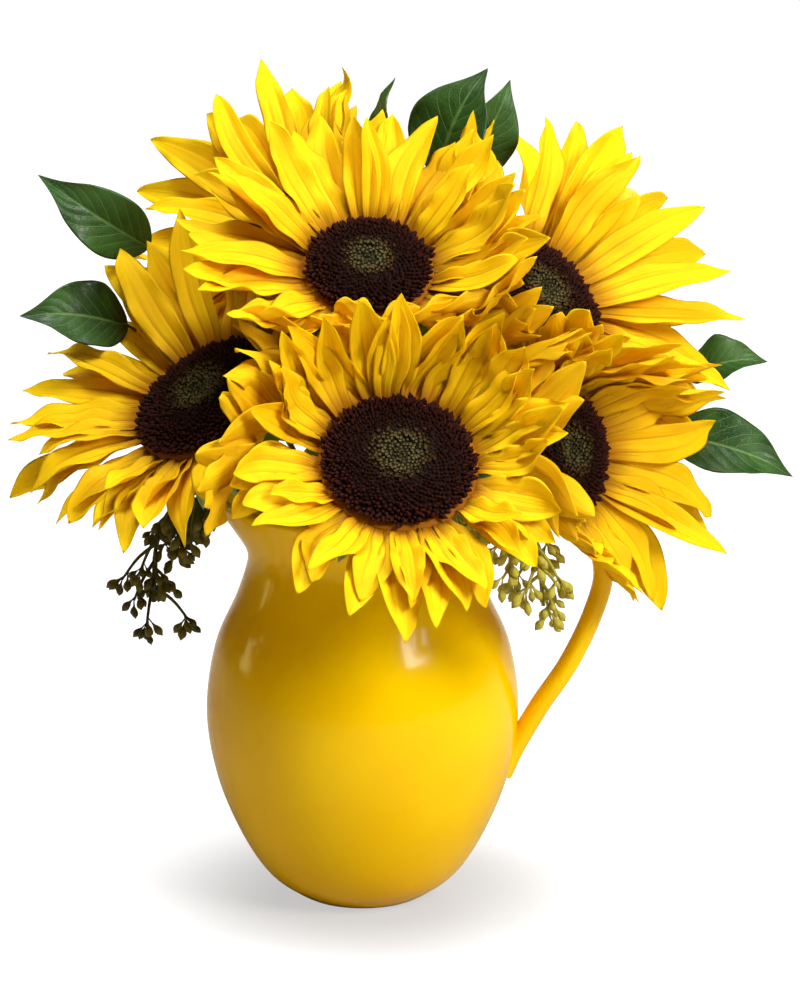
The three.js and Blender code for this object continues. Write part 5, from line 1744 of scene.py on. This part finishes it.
colour = blend_colours(tree, add_node(tree, "ShaderNodeMapRange", {
    0: mottle, 1: 0.5, 2: 0.8, 4: 0.35}).outputs[0], colour, ink("1f2a12"))
tree.links.new(colour, shader.inputs["Base Color"])
tree.links.new(add_node(tree, "ShaderNodeBump", {
    "Height": mottle, "Strength": 0.25, "Distance": 0.0004}).outputs[0],
    shader.inputs["Normal"])
print("eucalyptus finish ready")

# %% Make the seeded sprigs
def capsule_object():
    points, faces = spun(CAPSULE_PROFILE, CAPSULE_SIDES)
    tall = CAPSULE_PROFILE[-1][1]
    return make_piece("capsule", {"points": points, "faces": faces, "high": points[:, 2] / tall},
                      seeded_skin)


def skeleton_mesh(lines, places, axes):
    """The lines as loose edges, with a lone point for every capsule."""
    points, edges, thick = [], [], []
    for line, radii in lines:
        edges += [(len(points) + i, len(points) + i + 1) for i in range(len(line) - 1)]
        points += list(line)
        thick += list(radii)
    count = len(points)
    mesh = bpy.data.meshes.new("skeleton")
    mesh.from_pydata([tuple(p * MM) for p in [*points, *places]], edges, [])
    own_axes = np.concatenate([np.tile((0, 0, 1), (count, 1)), axes])
    values = {"thick": [*(r * MM for r in thick), *[0] * len(places)],
              "capsule": [0] * count + [1] * len(places)}
    for key, value in values.items():
        mesh.attributes.new(key, "FLOAT", "POINT").data.foreach_set("value", value)
    mesh.attributes.new("axis", "FLOAT_VECTOR", "POINT").data.foreach_set(
        "vector", own_axes.astype(np.float32).ravel())
    return mesh


capsule_form = capsule_object()
for sprig in SEEDED_SPRIGS:
    mesh = grown_mesh(sprig_tree, {
        "Capsule": capsule_form, "Sides": 9, "Seed": sprig["seed"], "Material": seeded_skin},
        base=skeleton_mesh(*seeded_skeleton(sprig)))
    piece = make_piece(f"eucalyptus_sprig_{sprig['name']}",
                       leaf_part(sprig["leaf"], seeded(sprig["seed"] + 40)), seeded_skin)
    with_mesh(piece, mesh)
    # Each sprig carries its painted light and shade as one value on every point.
    painted_light_tone = piece.data.attributes.new("painted_light_tone", "FLOAT", "POINT")
    painted_light_tone.data.foreach_set("value", [sprig["painted_light_tone"]] * len(piece.data.vertices))
    stand_for(piece, "eucalyptus", f"eucalyptus_{sprig['name']}")
    print(piece.name, len(piece.data.polygons), "faces")
bpy.data.objects.remove(capsule_form)
